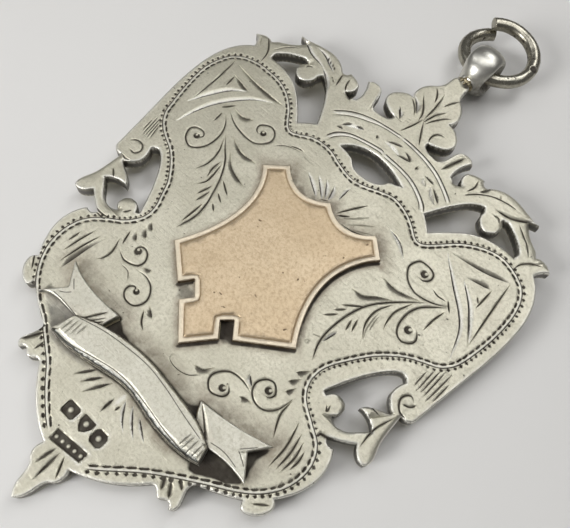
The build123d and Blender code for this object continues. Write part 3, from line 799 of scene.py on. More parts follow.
def curlShape(xy, drop, grooveAndShade):
    dropFade, darkFade = plate["curlFades"]
    beadRim, beadDark = plate["curlBeadRim"]
    for x, y, radius in plate["curlEnds"]:
        rim = 1 - toSpot(xy, x, y) / radius
        drop = np.maximum(drop, plate["curlDepth"] * unit(rim / dropFade))
        grooveAndShade = np.maximum(grooveAndShade, unit(rim / darkFade))
        beadX, beadY, beadRadius = curlBead(x, y, radius)
        bead = toSpot(xy, beadX, beadY) / beadRadius
        raised = plate["curlDepth"] - plate["curlBead"] * np.sqrt(unit(1 - bead**2))
        drop = np.where(bead < 1, np.minimum(drop, raised), drop)
        grooveAndShade = np.where(bead < beadRim, grooveAndShade * unit(bead - beadDark), grooveAndShade)
    x, y, radius = plate["pip"]
    start, place, half = plate["pipSeam"]
    pip = toSpot(xy, x, y) / radius
    drop = drop - plate["pipHeight"] * np.sqrt(unit(1 - pip**2))
    return drop, np.maximum(grooveAndShade, plate["pipDark"] * unit(start - abs(pip - place) / half))


def leafSlope(x, y, outs):
    # leaves fall away broadly towards their upper and outer edges
    leaves = plate["leaves"]
    crown, crownFade = leaves["crown"]
    half, lift, middleShare = leaves["crownMiddle"]
    side, sideFade = leaves["side"]
    low, high = leaves["sideSpan"]
    leanX, leanY = leaves["lean"]
    middle = abs(x) < half
    onSide = unit((abs(x) - side) / sideFade) * (y > low) * (y < high)
    leafy = np.maximum(unit((y - crown - lift * middle) / crownFade), onSide)
    outward = unit(outs[:, 1] * leanY + leanX * outs[:, 0] * np.sign(x))
    return leafy * outward * np.where(middle, middleShare, 1.0)


def plateFace(xy, far, outs):
    x, y = xy.T
    layers = engrave(xy, plateCuts)
    punched = inArea(x, y, *marks["area"])
    part = layers[:, punched]
    punchMarks(xy[punched], *part)
    layers[:, punched] = part
    drop, grooveAndShade, freshAndHighlight = layers
    drop, grooveAndShade = curlShape(xy, drop, grooveAndShade)
    leafy = leafSlope(x, y, outs)
    edgeRound = plate["edgeRound"] + (plate["leafRound"] - plate["edgeRound"]) * leafy
    rounded = edgeRound * eased(far, edgeRound) * (1 - plate["leafFlatter"] * leafy)
    z = plateTop - rounded - drop + ripples(xy, far, plate["broadWave"], plate["fineWave"])
    z = np.minimum(z, plateTop + plate["highest"])

    # stains lie round the ribbon and the shield. The dark seams where they touch the plate are painted shadow
    # on the shield's right and lower sides, painted shade along the ribbon's foot, painted shade with grime
    # along the ribbon's top, and a stain over the shield's top
    toShield, shieldOuts = shieldEdge.near(xy)
    toRibbon, _ = ribbonEdge.near(xy)
    atTop = y > plate["shieldTopFrom"]
    upper = unit(y - plate["stainUpper"])
    (reach, moreReach), (share, moreShare) = plate["stainReach"], plate["stainShare"]
    stainAndShade = unit(1 - toRibbon / (reach + moreReach * upper)) * (share + moreShare * upper)
    stainAndShade = np.maximum(stainAndShade, np.where(atTop, tone("stainTop", toShield), tone("stainLow", toShield)))
    left, right = plate["brownishSpan"]
    brown = tone("brownish", toRibbon) * (y < plate["brownishBelow"]) * (x > left) * (x < right)
    stainAndShade = np.maximum(stainAndShade, brown)
    seamLow, seamBend = plate["seamAbove"]
    aboveRibbon = (y > seamLow + seamBend * x**2) * (abs(x - plate["seamMiddle"]) < plate["seamHalf"])
    left, right = plate["footSeamSpan"]
    underRibbon = (y < plate["footSeamBelow"]) * unit((x - left) / plate["seamFade"]) * (x < right)
    # painted shadow falls on the shield's right and lower sides
    leanX, leanY = plate["rightLean"]
    toTheRight = unit(plate["rightGain"] * (leanX * shieldOuts[:, 0] - leanY * shieldOuts[:, 1]))
    toTheTop = unit(plate["topGain"] * shieldOuts[:, 1] - plate["topLoss"]) * atTop
    for shade in (tone("ribbonTopShadeAndGrime", toRibbon) * aboveRibbon, tone("ribbonFootShade", toRibbon) * underRibbon,
                  tone("shieldRightShadow", toShield) * toTheRight, tone("shieldTop", toShield) * toTheTop):
        grooveAndShade = np.maximum(grooveAndShade, shade)
    ragged = waves(xy, *plate["raggedWave"])
    # grime patches; the two at the shield's lower notches are painted shade
    for gx, gy, radius, share in plate["grimeAndShade"]:
        near = 1 - toSpot(xy, gx, gy) / radius
        grooveAndShade = np.maximum(grooveAndShade, share * unit(plate["grimeGain"] * near + ragged) * (near > 0))
    # painted shadow of the ribbon's tails on the plate, with some tarnish, in shallow dips
    for corners in plate["shadowHollows"]:
        toHollow, inside = patchOf(xy, corners)
        sunk = unit(toHollow / plate["hollowEdge"] + plate["hollowRagged"] * ragged) * inside
        grooveAndShade = np.maximum(grooveAndShade, sunk)
        z -= plate["hollowDeep"] * sunk * unit(far / plate["hollowCalm"])
    # under the left tail: a raised fillet painted with shade, darker towards the band
    toFillet, inside = patchOf(xy, plate["fillet"])
    dull = unit(toFillet / plate["filletEdge"]) * inside
    z += plate["filletHeight"] * dull * unit(1 - toRibbon / plate["filletReach"])**plate["filletPower"]
    along = plate["filletTone"] + (x - plate["filletFrom"]) / plate["filletFade"]
    dull *= plate["filletShade"] * unit(along + plate["filletRagged"] * ragged)
    # painted shade in a strip below the ribbon's left end
    left, right = plate["stripSpan"]
    onStrip = (y < plate["stripBelow"]) * unit((right - x) / plate["seamFade"]) * (x > left)
    strip = tone("shadeStrip", toRibbon) * onStrip
    # worn edges, with the cuts' painted highlights
    wear = np.maximum(tone("edgeWear", far), freshAndHighlight)
    return z, dict(grooveAndShade=grooveAndShade, stainAndShade=stainAndShade, wear=wear, wall=np.maximum(dull, strip))


def plateIsFine(x, y):
    # the marks, the crown's leaves and the seams need small triangles
    return (inArea(x, y, *marks["fineArea"]) or (y > 14 and abs(x) > 4)
            or min(shieldEdge.tree.find((x, y, 0))[2], ribbonEdge.tree.find((x, y, 0))[2]) < 0.5)


# Rings of points round each bead, pip and scroll end, and closer points in the marks
def bumpRings(x, y, radius, *shares):
    return x, y, [radius * share for share in shares]


bumps = [bumpRings(*np.add(field["at"], (x, y)), radius, 0.5)
         for field in marks["fields"] for x, y, radius in field["beads"]]
bumps.append(bumpRings(*plate["pip"], 0.5, 1, 1.3))
bumps += [bumpRings(*end, 0.6, 1) for end in plate["curlEnds"]]
bumps += [bumpRings(*curlBead(*end)[:2], end[2], 0.2, 0.4, 0.52) for end in plate["curlEnds"]]
markLines, markGrid = [], []
for field in marks["fields"]:
    outline, middle = np.array(field["outline"]), np.array(field["at"])
    for share in (1.0, 1 - marks["wall"] / marks["halfHeight"]):
        markLines += evenLoops([outline * share + middle], marks["lineStep"])
    grid = gridOf([-half for half in marks["gridHalf"]], marks["gridHalf"], marks["step"])
    markGrid.extend(grid[insideLoops(grid, [outline * marks["gridInset"]])] + middle)
plateDetail = dict(insets=(0.03, 0.07, 0.11, 0.2, 0.32), fine=0.15, skip=3, busyCell=0.35, backRound=0.12,
                   clear=(0, 0.09), fineWhere=plateIsFine)
engravedPlate = sheetOfMetal("engravedPlate", plateLoops, plateTop, 0, plateFace, plateDetail, plateCuts,
                             bumps, markLines, markGrid)
print("plate:", len(engravedPlate.data.polygons), "faces")

# The applied shield, with the line cut round inside its edge
shield = dict(round=0.09, lineInset=0.43, lineHalfWidth=0.085, lineDepth=0.06, rimInset=0.40, rimFade=0.08,
              seamInset=0.41, seamHalf=0.05, seamDark=0.66,
              broadWave=(3.0, 0.02, 9.0), fineWave=(0.7, 0.006, 2.0))


def shieldFace(xy, far, outs):
    line = unit(1 - abs(far - shield["lineInset"]) / shield["lineHalfWidth"])
    rounded = shield["round"] * eased(far, shield["round"])
    z = shieldHigh[2] - np.maximum(rounded, line * shield["lineDepth"])
    z += ripples(xy, far, shield["broadWave"], shield["fineWave"])
    rim = unit((shield["rimInset"] - far) / shield["rimFade"])
    seam = unit(1 - abs(far - shield["seamInset"]) / shield["seamHalf"]) * shield["seamDark"]
    return z, dict(grooveAndShade=seam, stainAndShade=tone("shieldRim", far), wear=rim, wall=0 * far)


shieldDetail = dict(insets=(0.03, 0.06, 0.09, 0.2, 0.345, 0.39, 0.43, 0.47, 0.515), fine=0.2, skip=2,
                    busyCell=0.4, backRound=0.05, clear=(0.26, 0.58), fineWhere=lambda x, y: False)
goldShield = sheetOfMetal("goldShield", shieldLoops, shieldHigh[2], shieldLow[2], shieldFace, shieldDetail)
print("shield:", len(goldShield.data.polygons), "faces")

# The applied ribbon: a raised band over two tails that dive under it, with engraved folds
ribbon = dict(bandTop=ribbonHigh[2], tailTop=1.96, dive=0.2, diveReach=0.9, divePower=1.5, diveShade=0.35,
              overlap=0.1, slopeWidth=0.42, slopeDrop=0.4, slopeShadeTone=(1.7, 1.9), steep=0.4, round=0.09,
              shadeHalf=0.12, shadeDark=0.8, calm=0.25,
              broadWave=(2.6, 0.035, 3.0), fineWave=(0.8, 0.01, 7.0))
ribbonWork = {
    "contour": [
        [(-8.8, -13.15), (-7.8, -13.1), (-7.2, -13.12), (-6.3, -13.15)],
        [(6.5, -12.6), (7.3, -12.42), (8, -12.4), (9, -12.55)],
        [(-7.75, -12.1), (-8.15, -11.8), (-8.55, -11.45)], [(-7.75, -12.2), (-8.1, -12.6), (-8.5, -12.9)],
        [(8.2, -11.6), (8.6, -11.15), (9.1, -10.6)], [(8.2, -11.65), (8.7, -11.85), (9.3, -12.2)],
        [(-6.3, -13.25), (-4, -12.55), (-2, -12.2), (0, -12.05), (2, -12.25), (4, -12.6), (6.2, -12.95)],
        [(-6.5, -14.85), (-5, -14.75), (-3, -14.2), (-1.5, -13.85), (0, -13.75), (2, -13.9), (4, -14.15),
         (6.7, -14.3)],
    ],
    "faint": [
        [(5.35, -13.1), (5.25, -14.2)], [(5.65, -13.05), (5.55, -14.2)], [(6, -13.05), (5.95, -14.2)],
        [(6.4, -13.1), (6.4, -14.1)], [(6.65, -13.15), (6.7, -13.9)], [(-6.4, -13.5), (-6.5, -14.6)],
        [(-6.05, -13.4), (-6.1, -14.6)], [(-5.75, -13.3), (-5.75, -14.5)], [(-5.45, -13.2), (-5.4, -14.3)],
        [(-5.1, -13.1), (-5.1, -14)], [(-8.7, -11.6), (-8.3, -12.15)], [(-8.9, -12.8), (-8.3, -12.3)],
        [(8.7, -11.4), (8.4, -11.7)], [(9, -12), (8.5, -11.75)],
    ],
    "hair": [
        [(-4.62, -11.75), (-5.45, -12.9)], [(-4.55, -12.05), (-5.1, -12.75)],
        [(-4.9, -11.5), (-5.7, -12.7)],
    ],
    "ray": [
        [(6.4, -12.85), (5.4, -12), (4.25, -11.15)],
    ],
    "vein": [
        [(-4.85, -11.45), (-5.4, -12.3), (-5.85, -13)],
    ],
}
ribbonCuts = handCuts(ribbonWork)


def ribbonFace(xy, far, outs):
    toBand, _ = bandEdge.near(xy)
    onBand = insideLoops(xy, bandLoops)
    dive = unit(1 - toBand / ribbon["diveReach"])
    tail = ribbon["tailTop"] - ribbon["dive"] * dive**ribbon["divePower"]
    slip = unit(1 - toBand / ribbon["overlap"])
    height = np.where(onBand, ribbon["bandTop"], tail + (ribbon["bandTop"] - tail) * slip)
    downward = unit(-outs[:, 1]) * onBand
    width = ribbon["round"] + ribbon["slopeWidth"] * downward
    steep = downward > ribbon["steep"]
    fall = unit(1 - far / width)**np.where(steep, 1.0, 2.0)
    height -= (ribbon["round"] * (1 - downward) + ribbon["slopeDrop"] * downward) * fall
    drop, grooveAndShade, _ = engrave(xy, ribbonCuts)
    z = height - drop + ripples(xy, far, ribbon["broadWave"], ribbon["fineWave"], ribbon["calm"])
    shade = unit(1 - abs(toBand - ribbon["overlap"]) / ribbon["shadeHalf"]) * ribbon["shadeDark"] * ~onBand
    # the lower slope is painted in shade through the wall layer
    start, loss = ribbon["slopeShadeTone"]
    slopeShade = steep * unit(start - loss * far / width)
    # painted shade on the tails close to the band, where they dive under it
    stainAndShade = ribbon["diveShade"] * dive * ~onBand
    wear = tone("ribbonWear", far) * (1 - slopeShade)
    return (np.minimum(z, ribbon["bandTop"]),
            dict(grooveAndShade=np.maximum(grooveAndShade, shade), stainAndShade=stainAndShade, wear=wear, wall=slopeShade))


ribbonDetail = dict(insets=(0.03, 0.08, 0.15, 0.3, 0.42), fine=0.12, skip=1, busyCell=0.4, backRound=0.05,
                    clear=(0, 0.06), fineWhere=lambda x, y: True)
struckRibbon = sheetOfMetal("struckRibbon", ribbonLoops, ribbonHigh[2], ribbonLow[2], ribbonFace,
                            ribbonDetail, ribbonCuts)
print("ribbon:", len(struckRibbon.data.polygons), "faces")


# Eyelet: a fat ring of oval section drawn in towards its foot, fused and smoothed into one casting
loopLow, loopHigh = boxOf("suspension_loop")
loopOuter = (loopHigh[2] - loopLow[2]) / 2
loopMiddle = (loopLow + loopHigh) / 2
eyelet = dict(middle=(loopMiddle[0], loopHigh[1] - loopOuter, loopMiddle[2]), outer=loopOuter, hole=1.05,
              halfWidth=(loopHigh[0] - loopLow[0]) / 2, footHalf=0.75, footDepth=0.55, footLength=1.0,
              footFlare=0.25, footPower=0.6, voxel=0.055, smooth=6)
# painted shade on the eyelet, in its hole, underside and right side
eyeletShade = dict(hole=1.5, holeFade=0.4, start=0.15, lean=0.75,
               lowFrom=-0.6, lowFade=1.6, lowSide=0.2, lowShare=0.4)


def addTube(bm, rings):
    # closed rows of points joined into a skin
    rows = [[bm.verts.new(p) for p in row] for row in rings]
    bridge(bm, rows)
    return rows


def eyeletMesh():
    cx, cy, cz = eyelet["middle"]
    section = (eyelet["outer"] - eyelet["hole"]) / 2
    footY, footHalf = loopLow[1], eyelet["footHalf"]
    bm = bmesh.new()
    rings = []
    for u in np.linspace(0, 2 * math.pi, 97):
        row = []
        for v in np.linspace(0, 2 * math.pi, 40, endpoint=False):
            r = eyelet["hole"] + section + section * math.cos(v)
            y = cy + r * math.cos(u)
            share = unit((y - footY) / (cy - section - footY))
            limit = footHalf + (eyelet["halfWidth"] - footHalf) * math.sin(share * math.pi / 2)
            row.append(((cx + math.sin(v) * limit) * mm, y * mm, (cz + r * math.sin(u)) * mm))
        rings.append(row)
    addTube(bm, rings)
    bmesh.ops.remove_doubles(bm, verts=bm.verts, dist=sheet["merge"])

    def square(value):
        # pushes a circle's sine or cosine towards a rounded square
        return math.copysign(abs(value)**eyelet["footPower"], value)

    foot = []
    for share in np.linspace(0, 1, 8):
        flare, y = 1 + eyelet["footFlare"] * share, footY + share * eyelet["footLength"]
        foot.append([((cx + square(math.cos(a)) * footHalf * flare) * mm, y * mm,
                      (cz + square(math.sin(a)) * eyelet["footDepth"] * flare) * mm)
                     for a in np.linspace(0, 2 * math.pi, 32, endpoint=False)])
    rows = addTube(bm, foot)
    bm.faces.new(rows[0])
    bm.faces.new(rows[-1])
    return bm


def fuse(piece, voxel, smooth):
    # one skin over touching solids, with soft joints
    bpy.context.view_layer.objects.active = piece
    remesh = piece.modifiers.new("fuse", "REMESH")
    remesh.mode = "VOXEL"
    remesh.voxel_size = voxel * mm
    soft = piece.modifiers.new("soft", "SMOOTH")
    soft.factor = 0.5
    soft.iterations = smooth
    for modifier in list(piece.modifiers):
        bpy.ops.object.modifier_apply(modifier=modifier.name)
    piece.data.shade_smooth()


def shadeEyelet(piece):
    # painted shade: dark in the hole, below, and down the right side
    x, y, z = (np.array([v.co for v in piece.data.vertices]) / mm - eyelet["middle"]).T
    inner = unit((eyeletShade["hole"] - np.hypot(y, z)) / eyeletShade["holeFade"])
    below = unit(eyeletShade["start"] - z / eyelet["outer"] + eyeletShade["lean"] * x / eyelet["halfWidth"])
    low = unit((eyeletShade["lowFrom"] - y) / eyeletShade["lowFade"]) * (x > eyeletShade["lowSide"])
    stainAndShade = unit(np.maximum(inner, below) + eyeletShade["lowShare"] * low)
    piece.data.attributes.new("stainAndShade", "FLOAT", "POINT").data.foreach_set("value", stainAndShade)


polishedEyelet = finishMesh("polishedEyelet", eyeletMesh())
fuse(polishedEyelet, eyelet["voxel"], eyelet["smooth"])
shadeEyelet(polishedEyelet)
print("eyelet:", len(polishedEyelet.data.polygons), "faces")

# Jump ring: two half turns, tipped so that the cut ends stand one step apart
jumpRing = dict(meanRadius=3.11, wireRadius=0.58, endStep=1.3, endOverlap=0.52, splitAngle=134.3,
                sideShift=0.28, droop=3.5, sides=56, steps=190, endRound=0.07, endPush=0.6, wear=0.03,
                wearSize=1.1, topHighlight=1.2, pits=0.006, pitSize=0.30, pitFrom=0.18, pitGain=1.7, pitDark=0.9,
                patchSize=1.6, patchBase=0.7, patchGain=1.2, undersideShade=0.25, flat=0.05, flatFrom=0.75,
                flatSize=1.2, flatBase=0.5, dentAt=(3.54, 29.54), dentSize=(0.36, 0.33), dentDepth=0.14)


def ringFrames():
    # the wire's middle line, with the outward and the upward direction at each step
    hinge = Vector(frame["joints"][0]["pos_m"]) / mm
    radius, shift = jumpRing["meanRadius"], jumpRing["sideShift"]
    reach = math.sqrt(radius**2 - shift**2)
    tip = math.asin(jumpRing["endStep"] / 4 / radius)
    jointAngle = math.radians(jumpRing["splitAngle"] - 180)
    seatDrop = radius * (1 - math.cos(jointAngle - math.atan2(-reach, -shift))) * math.sin(tip)
    droop = Matrix.Rotation(-math.radians(jumpRing["droop"]), 3, "X")
    turned = droop @ Matrix.Rotation(jointAngle, 3, "Z")
    joint = hinge + droop @ Vector((shift, reach, seatDrop)) + turned @ Vector((radius, 0, 0))
    halfTurn = math.pi + jumpRing["endOverlap"] / 2 / radius
    halves = []
    for side in (1, -1):
        tipped = turned @ Matrix.Rotation(side * tip, 3, "Y")
        middle = joint + tipped @ Vector((-radius, 0, 0))
        outs = [tipped @ Vector((math.cos(angle), side * math.sin(angle), 0))
                for angle in np.linspace(0, halfTurn, jumpRing["steps"])]
        halves.append([(middle + out * radius, out, tipped @ Vector((0, 0, 1))) for out in outs])
    return halves[0][::-1] + halves[1][1:]


def wireSurface(middle, away, turn):
    # how deep the wire's skin lies under its round at one spot, how dark it is with painted shade on its
    # underside, and how worn, lighter on top as painted highlight
    place = middle + away * jumpRing["wireRadius"]
    worn = noise.noise(place / jumpRing["wearSize"]) * jumpRing["wear"]
    pit = noise.noise(place / jumpRing["pitSize"] + Vector((7, 0, 0)))
    patch = noise.noise(place / jumpRing["patchSize"] + Vector((0, 9, 0)))
    patchy = max(0.0, jumpRing["patchBase"] + jumpRing["patchGain"] * patch)
    pitted = max(0.0, pit - jumpRing["pitFrom"]) * patchy * jumpRing["pitGain"]
    onTop = max(0.0, math.sin(turn) - jumpRing["flatFrom"]) / (1 - jumpRing["flatFrom"])
    flat = jumpRing["flat"] * onTop * (jumpRing["flatBase"] + noise.noise(middle / jumpRing["flatSize"]))
    dx, dy = ((place[i] - jumpRing["dentAt"][i]) / jumpRing["dentSize"][i] for i in (0, 1))
    dent = max(0.0, 1 - (dx * dx + dy * dy)**2) if away.z > 0 else 0
    sink = abs(worn) + jumpRing["pits"] * pitted + flat + dent * jumpRing["dentDepth"]
    dark = jumpRing["pitDark"] * pitted + jumpRing["undersideShade"] * max(0.0, -math.cos(turn)) + math.sqrt(dent)
    return sink, min(1.0, dark), max(0.0, min(1.0, away.z * jumpRing["topHighlight"] - pitted))


def ringMesh():
    frames = ringFrames()
    wire, sides, endRound = jumpRing["wireRadius"], jumpRing["sides"], jumpRing["endRound"]
    bm = bmesh.new()
    pitAndShadeLayer = bm.verts.layers.float.new("grooveAndShade")
    wearAndHighlightLayer = bm.verts.layers.float.new("wear")
    rows = []
    for middle, out, up in frames:
        row = []
        for turn in (2 * math.pi * k / sides for k in range(sides)):
            away = out * math.cos(turn) + up * math.sin(turn)
            sink, dark, worn = wireSurface(middle, away, turn)
            vert = bm.verts.new((middle + away * (wire - sink)) * mm)
            vert[pitAndShadeLayer], vert[wearAndHighlightLayer] = dark, worn
            row.append(vert)
        rows.append(row)
    bridge(bm, rows)
    for row, end, before in ((rows[0], frames[0], frames[1]), (rows[-1], frames[-1], frames[-2])):
        # the cut face, eased at its rim
        middle = end[0]
        along = (middle - before[0]).normalized()
        caps = [row]
        for share in (0.5, 1.0):
            inset = endRound * (1 - math.cos(share * math.pi / 2)) + 0.01
            push = along * endRound * math.sin(share * math.pi / 2) * jumpRing["endPush"]
            caps.append([bm.verts.new((middle + (vert.co / mm - middle) * (1 - inset / wire) + push) * mm)
                         for vert in row])
        bridge(bm, caps)
        hub = bm.verts.new((middle + along * endRound * jumpRing["endPush"]) * mm)
        for k in range(sides):
            bm.faces.new([caps[-1][k], caps[-1][(k + 1) % sides], hub])
        for vert in caps[1] + caps[2] + [hub]:
            vert[wearAndHighlightLayer] = 1.0
    return bm


splitRing = finishMesh("splitRing", ringMesh(), sharp=50)
print("ring:", len(splitRing.data.polygons), "faces")

# Solder at the neck: a lumpy fillet between the leaf's tip and the eyelet's foot
neckLow, neckHigh = boxOf("neck_solder")
neck = dict(middle=(neckLow + neckHigh) / 2, radii=(0.80, 0.26, 0.66), voxel=0.04, smooth=3,
            lumpy=0.07, lumpSize=2.2,
            lumps=[(0.42, -0.22, 0.52, 0.2), (-0.3, -0.3, 0.58, 0.16), (0.1, -0.42, 0.6, 0.12),
                   (0.55, 0.05, 0.1, 0.2), (-0.55, 0, -0.1, 0.2), (0.3, 0.16, 0.42, 0.18),
                   (-0.15, 0.2, 0.5, 0.15), (0, -0.15, -0.55, 0.22)])


def neckMesh():
    bm = bmesh.new()
    blobs = [((0, 0, 0), neck["radii"])] + [(lump[:3], lump[3:] * 3) for lump in neck["lumps"]]
    for spot, radii in blobs:
        for vert in bmesh.ops.create_icosphere(bm, subdivisions=4, radius=1.0)["verts"]:
            shake = 1 + neck["lumpy"] * noise.noise(vert.co * neck["lumpSize"] + Vector(spot) * 9)
            middle = neck["middle"] + spot
            vert.co = Vector((middle[i] + vert.co[i] * radii[i] * shake) * mm for i in range(3))
    return bm


neckSolder = finishMesh("neckSolder", neckMesh())
fuse(neckSolder, neck["voxel"], neck["smooth"])
print("neck solder:", len(neckSolder.data.polygons), "faces")


# Finishes
class Finish:
    # one material, with short ways to write its nodes; a value is a number, a colour or a node's output
    def __init__(self, name):
        self.material = bpy.data.materials.new(name)
        self.material.use_nodes = True
        self.tree = self.material.node_tree
        self.shader = self.tree.nodes["Principled BSDF"]
        self.coords = self.node("ShaderNodeTexCoord").outputs["Object"]

    def node(self, kind, **values):
        made = self.tree.nodes.new(kind)
        for key, value in values.items():
            setattr(made, key, value)
        return made

    def feed(self, sockets, **values):
        for name, value in values.items():
            socket = sockets[name.replace("_", " ")]
            if isinstance(value, bpy.types.NodeSocket):
                self.tree.links.new(value, socket)
            else:
                socket.default_value = (*value, 1.0) if socket.type == "RGBA" else value

    def noise(self, scale, detail, rough=0.5, stretch=None, turn=0.0):
        source = self.coords
        if stretch is not None:
            mapping = self.node("ShaderNodeMapping")
            self.feed(mapping.inputs, Scale=stretch, Rotation=(0, 0, turn), Vector=source)
            source = mapping.outputs["Vector"]
        texture = self.node("ShaderNodeTexNoise")
        self.feed(texture.inputs, Scale=scale, Detail=detail, Roughness=rough, Vector=source)
        return texture.outputs["Fac"]

    def between(self, value, low, high, toLow=0.0, toHigh=1.0):
        ranged = self.node("ShaderNodeMapRange", interpolation_type="SMOOTHSTEP")
        self.feed(ranged.inputs, Value=value, From_Min=low, From_Max=high, To_Min=toLow, To_Max=toHigh)
        return ranged.outputs["Result"]

    def sum(self, operation, a, b, clamp=False):
        made = self.node("ShaderNodeMath", operation=operation, use_clamp=clamp)
        self.feed(dict(a=made.inputs[0], b=made.inputs[1]), a=a, b=b)
        return made.outputs["Value"]

    def times(self, a, b, clamp=False):
        return self.sum("MULTIPLY", a, b, clamp)

    def blend(self, share, a, b):
        made = self.node("ShaderNodeMix", data_type="RGBA")
        sockets = {s.name: s for s in made.inputs if s.type == ("VALUE" if s.name == "Factor" else "RGBA")}
        self.feed(sockets, Factor=share, A=a, B=b)
        return next(s for s in made.outputs if s.type == "RGBA")

    def mark(self, key):
        made = self.node("ShaderNodeAttribute", attribute_type="GEOMETRY", attribute_name=key)
        return made.outputs["Fac"]


# Where each layer's blend starts and ends, and the turn and size of each run of scratches
spans = dict(broad=(0.3, 0.7), grain=(0.42, 0.68), scratch=(0.62, 0.72), pit=0.06, grooveAndShade=(0.22, 0.72),
             rough=(0.3, 0.75), patch=(0.3, 0.62, 0.25, 1.0), worn=(0.25, 0.6, 0.85, 1.0))
scratchRuns = ((0.5, 1.0), (-0.7, 1.3), (1.35, 0.8), (2.3, 1.1))


def metalFinish(name, look):
    made = Finish(name)
    times, between, blend, mark = made.times, made.between, made.blend, made.mark
    broad = made.noise(look["broadScale"], 4.0)
    grain = made.noise(look["grainScale"], 5.0, rough=0.75)
    colour = blend(between(broad, *spans["broad"]), look["colour"], look["second"])
    colour = blend(times(between(grain, *spans["grain"]), look["grainShare"]), colour, look["dull"])

    # scratches run many ways; each layer is noise drawn out along one line
    scratches = 0.0
    for turn, size in scratchRuns:
        stretch = (look["scratchLong"] * size, look["scratchFine"] * size, look["scratchLong"])
        streak = between(made.noise(1.0, 2.0, stretch=stretch, turn=turn), *spans["scratch"])
        scratches = made.sum("MAXIMUM", scratches, streak)
    pits = between(made.noise(look["pitScale"], 1.0), look["pitFrom"], look["pitFrom"] + spans["pit"])
    colour = blend(times(pits, look["pitDark"]), colour, look["patinaAndShade"])

    # the layers stored on the mesh: stain with painted shade, wear with painted highlight, wall (painted
    # shade) and groove with painted shade
    patchy = between(made.noise(look["stainScale"], 5.0, rough=0.65), *spans["patch"])
    stainAndShade = times(mark("stainAndShade"), patchy)
    wear = mark("wear")
    worn = between(made.noise(look["wornScale"], 2.0), *spans["worn"])
    grooveAndShade = times(between(mark("grooveAndShade"), *spans["grooveAndShade"]), worn)
    colour = blend(times(stainAndShade, look["stainShare"], clamp=True), colour, look["stainAndShadeColour"])
    colour = blend(times(wear, look["rimShare"]), colour, look["rimColour"])
    # painted shade on walls, slopes and shaded patches, from the wall layer
    colour = blend(times(mark("wall"), look["wallShadeShare"]), colour, look["wallShadeColour"])
    colour = blend(times(grooveAndShade, look["grooveShare"], clamp=True), colour, look["patinaAndShade"])

    dulled = made.sum("MAXIMUM", stainAndShade, grooveAndShade)
    rough = between(grain, *spans["rough"], look["roughLow"], look["roughHigh"])
    rough = made.sum("SUBTRACT", rough, times(wear, look["wearShine"]))
    rough = made.sum("ADD", rough, times(dulled, look["dullRough"]), clamp=True)
    metallic = made.sum("SUBTRACT", look["metallic"], times(dulled, look["dullLoss"]), clamp=True)
    relief = times(grain, look["grainRelief"])
    relief = made.sum("SUBTRACT", relief, times(scratches, look["scratchRelief"]))
    relief = made.sum("SUBTRACT", relief, times(pits, look["pitRelief"]))
    bump = made.node("ShaderNodeBump")
    made.feed(bump.inputs, Strength=1.0, Distance=look["bumpDepth"] * mm, Height=relief)
    made.feed(made.shader.inputs, Base_Color=colour, Roughness=rough, Metallic=metallic,
              Normal=bump.outputs["Normal"])
    return made.material


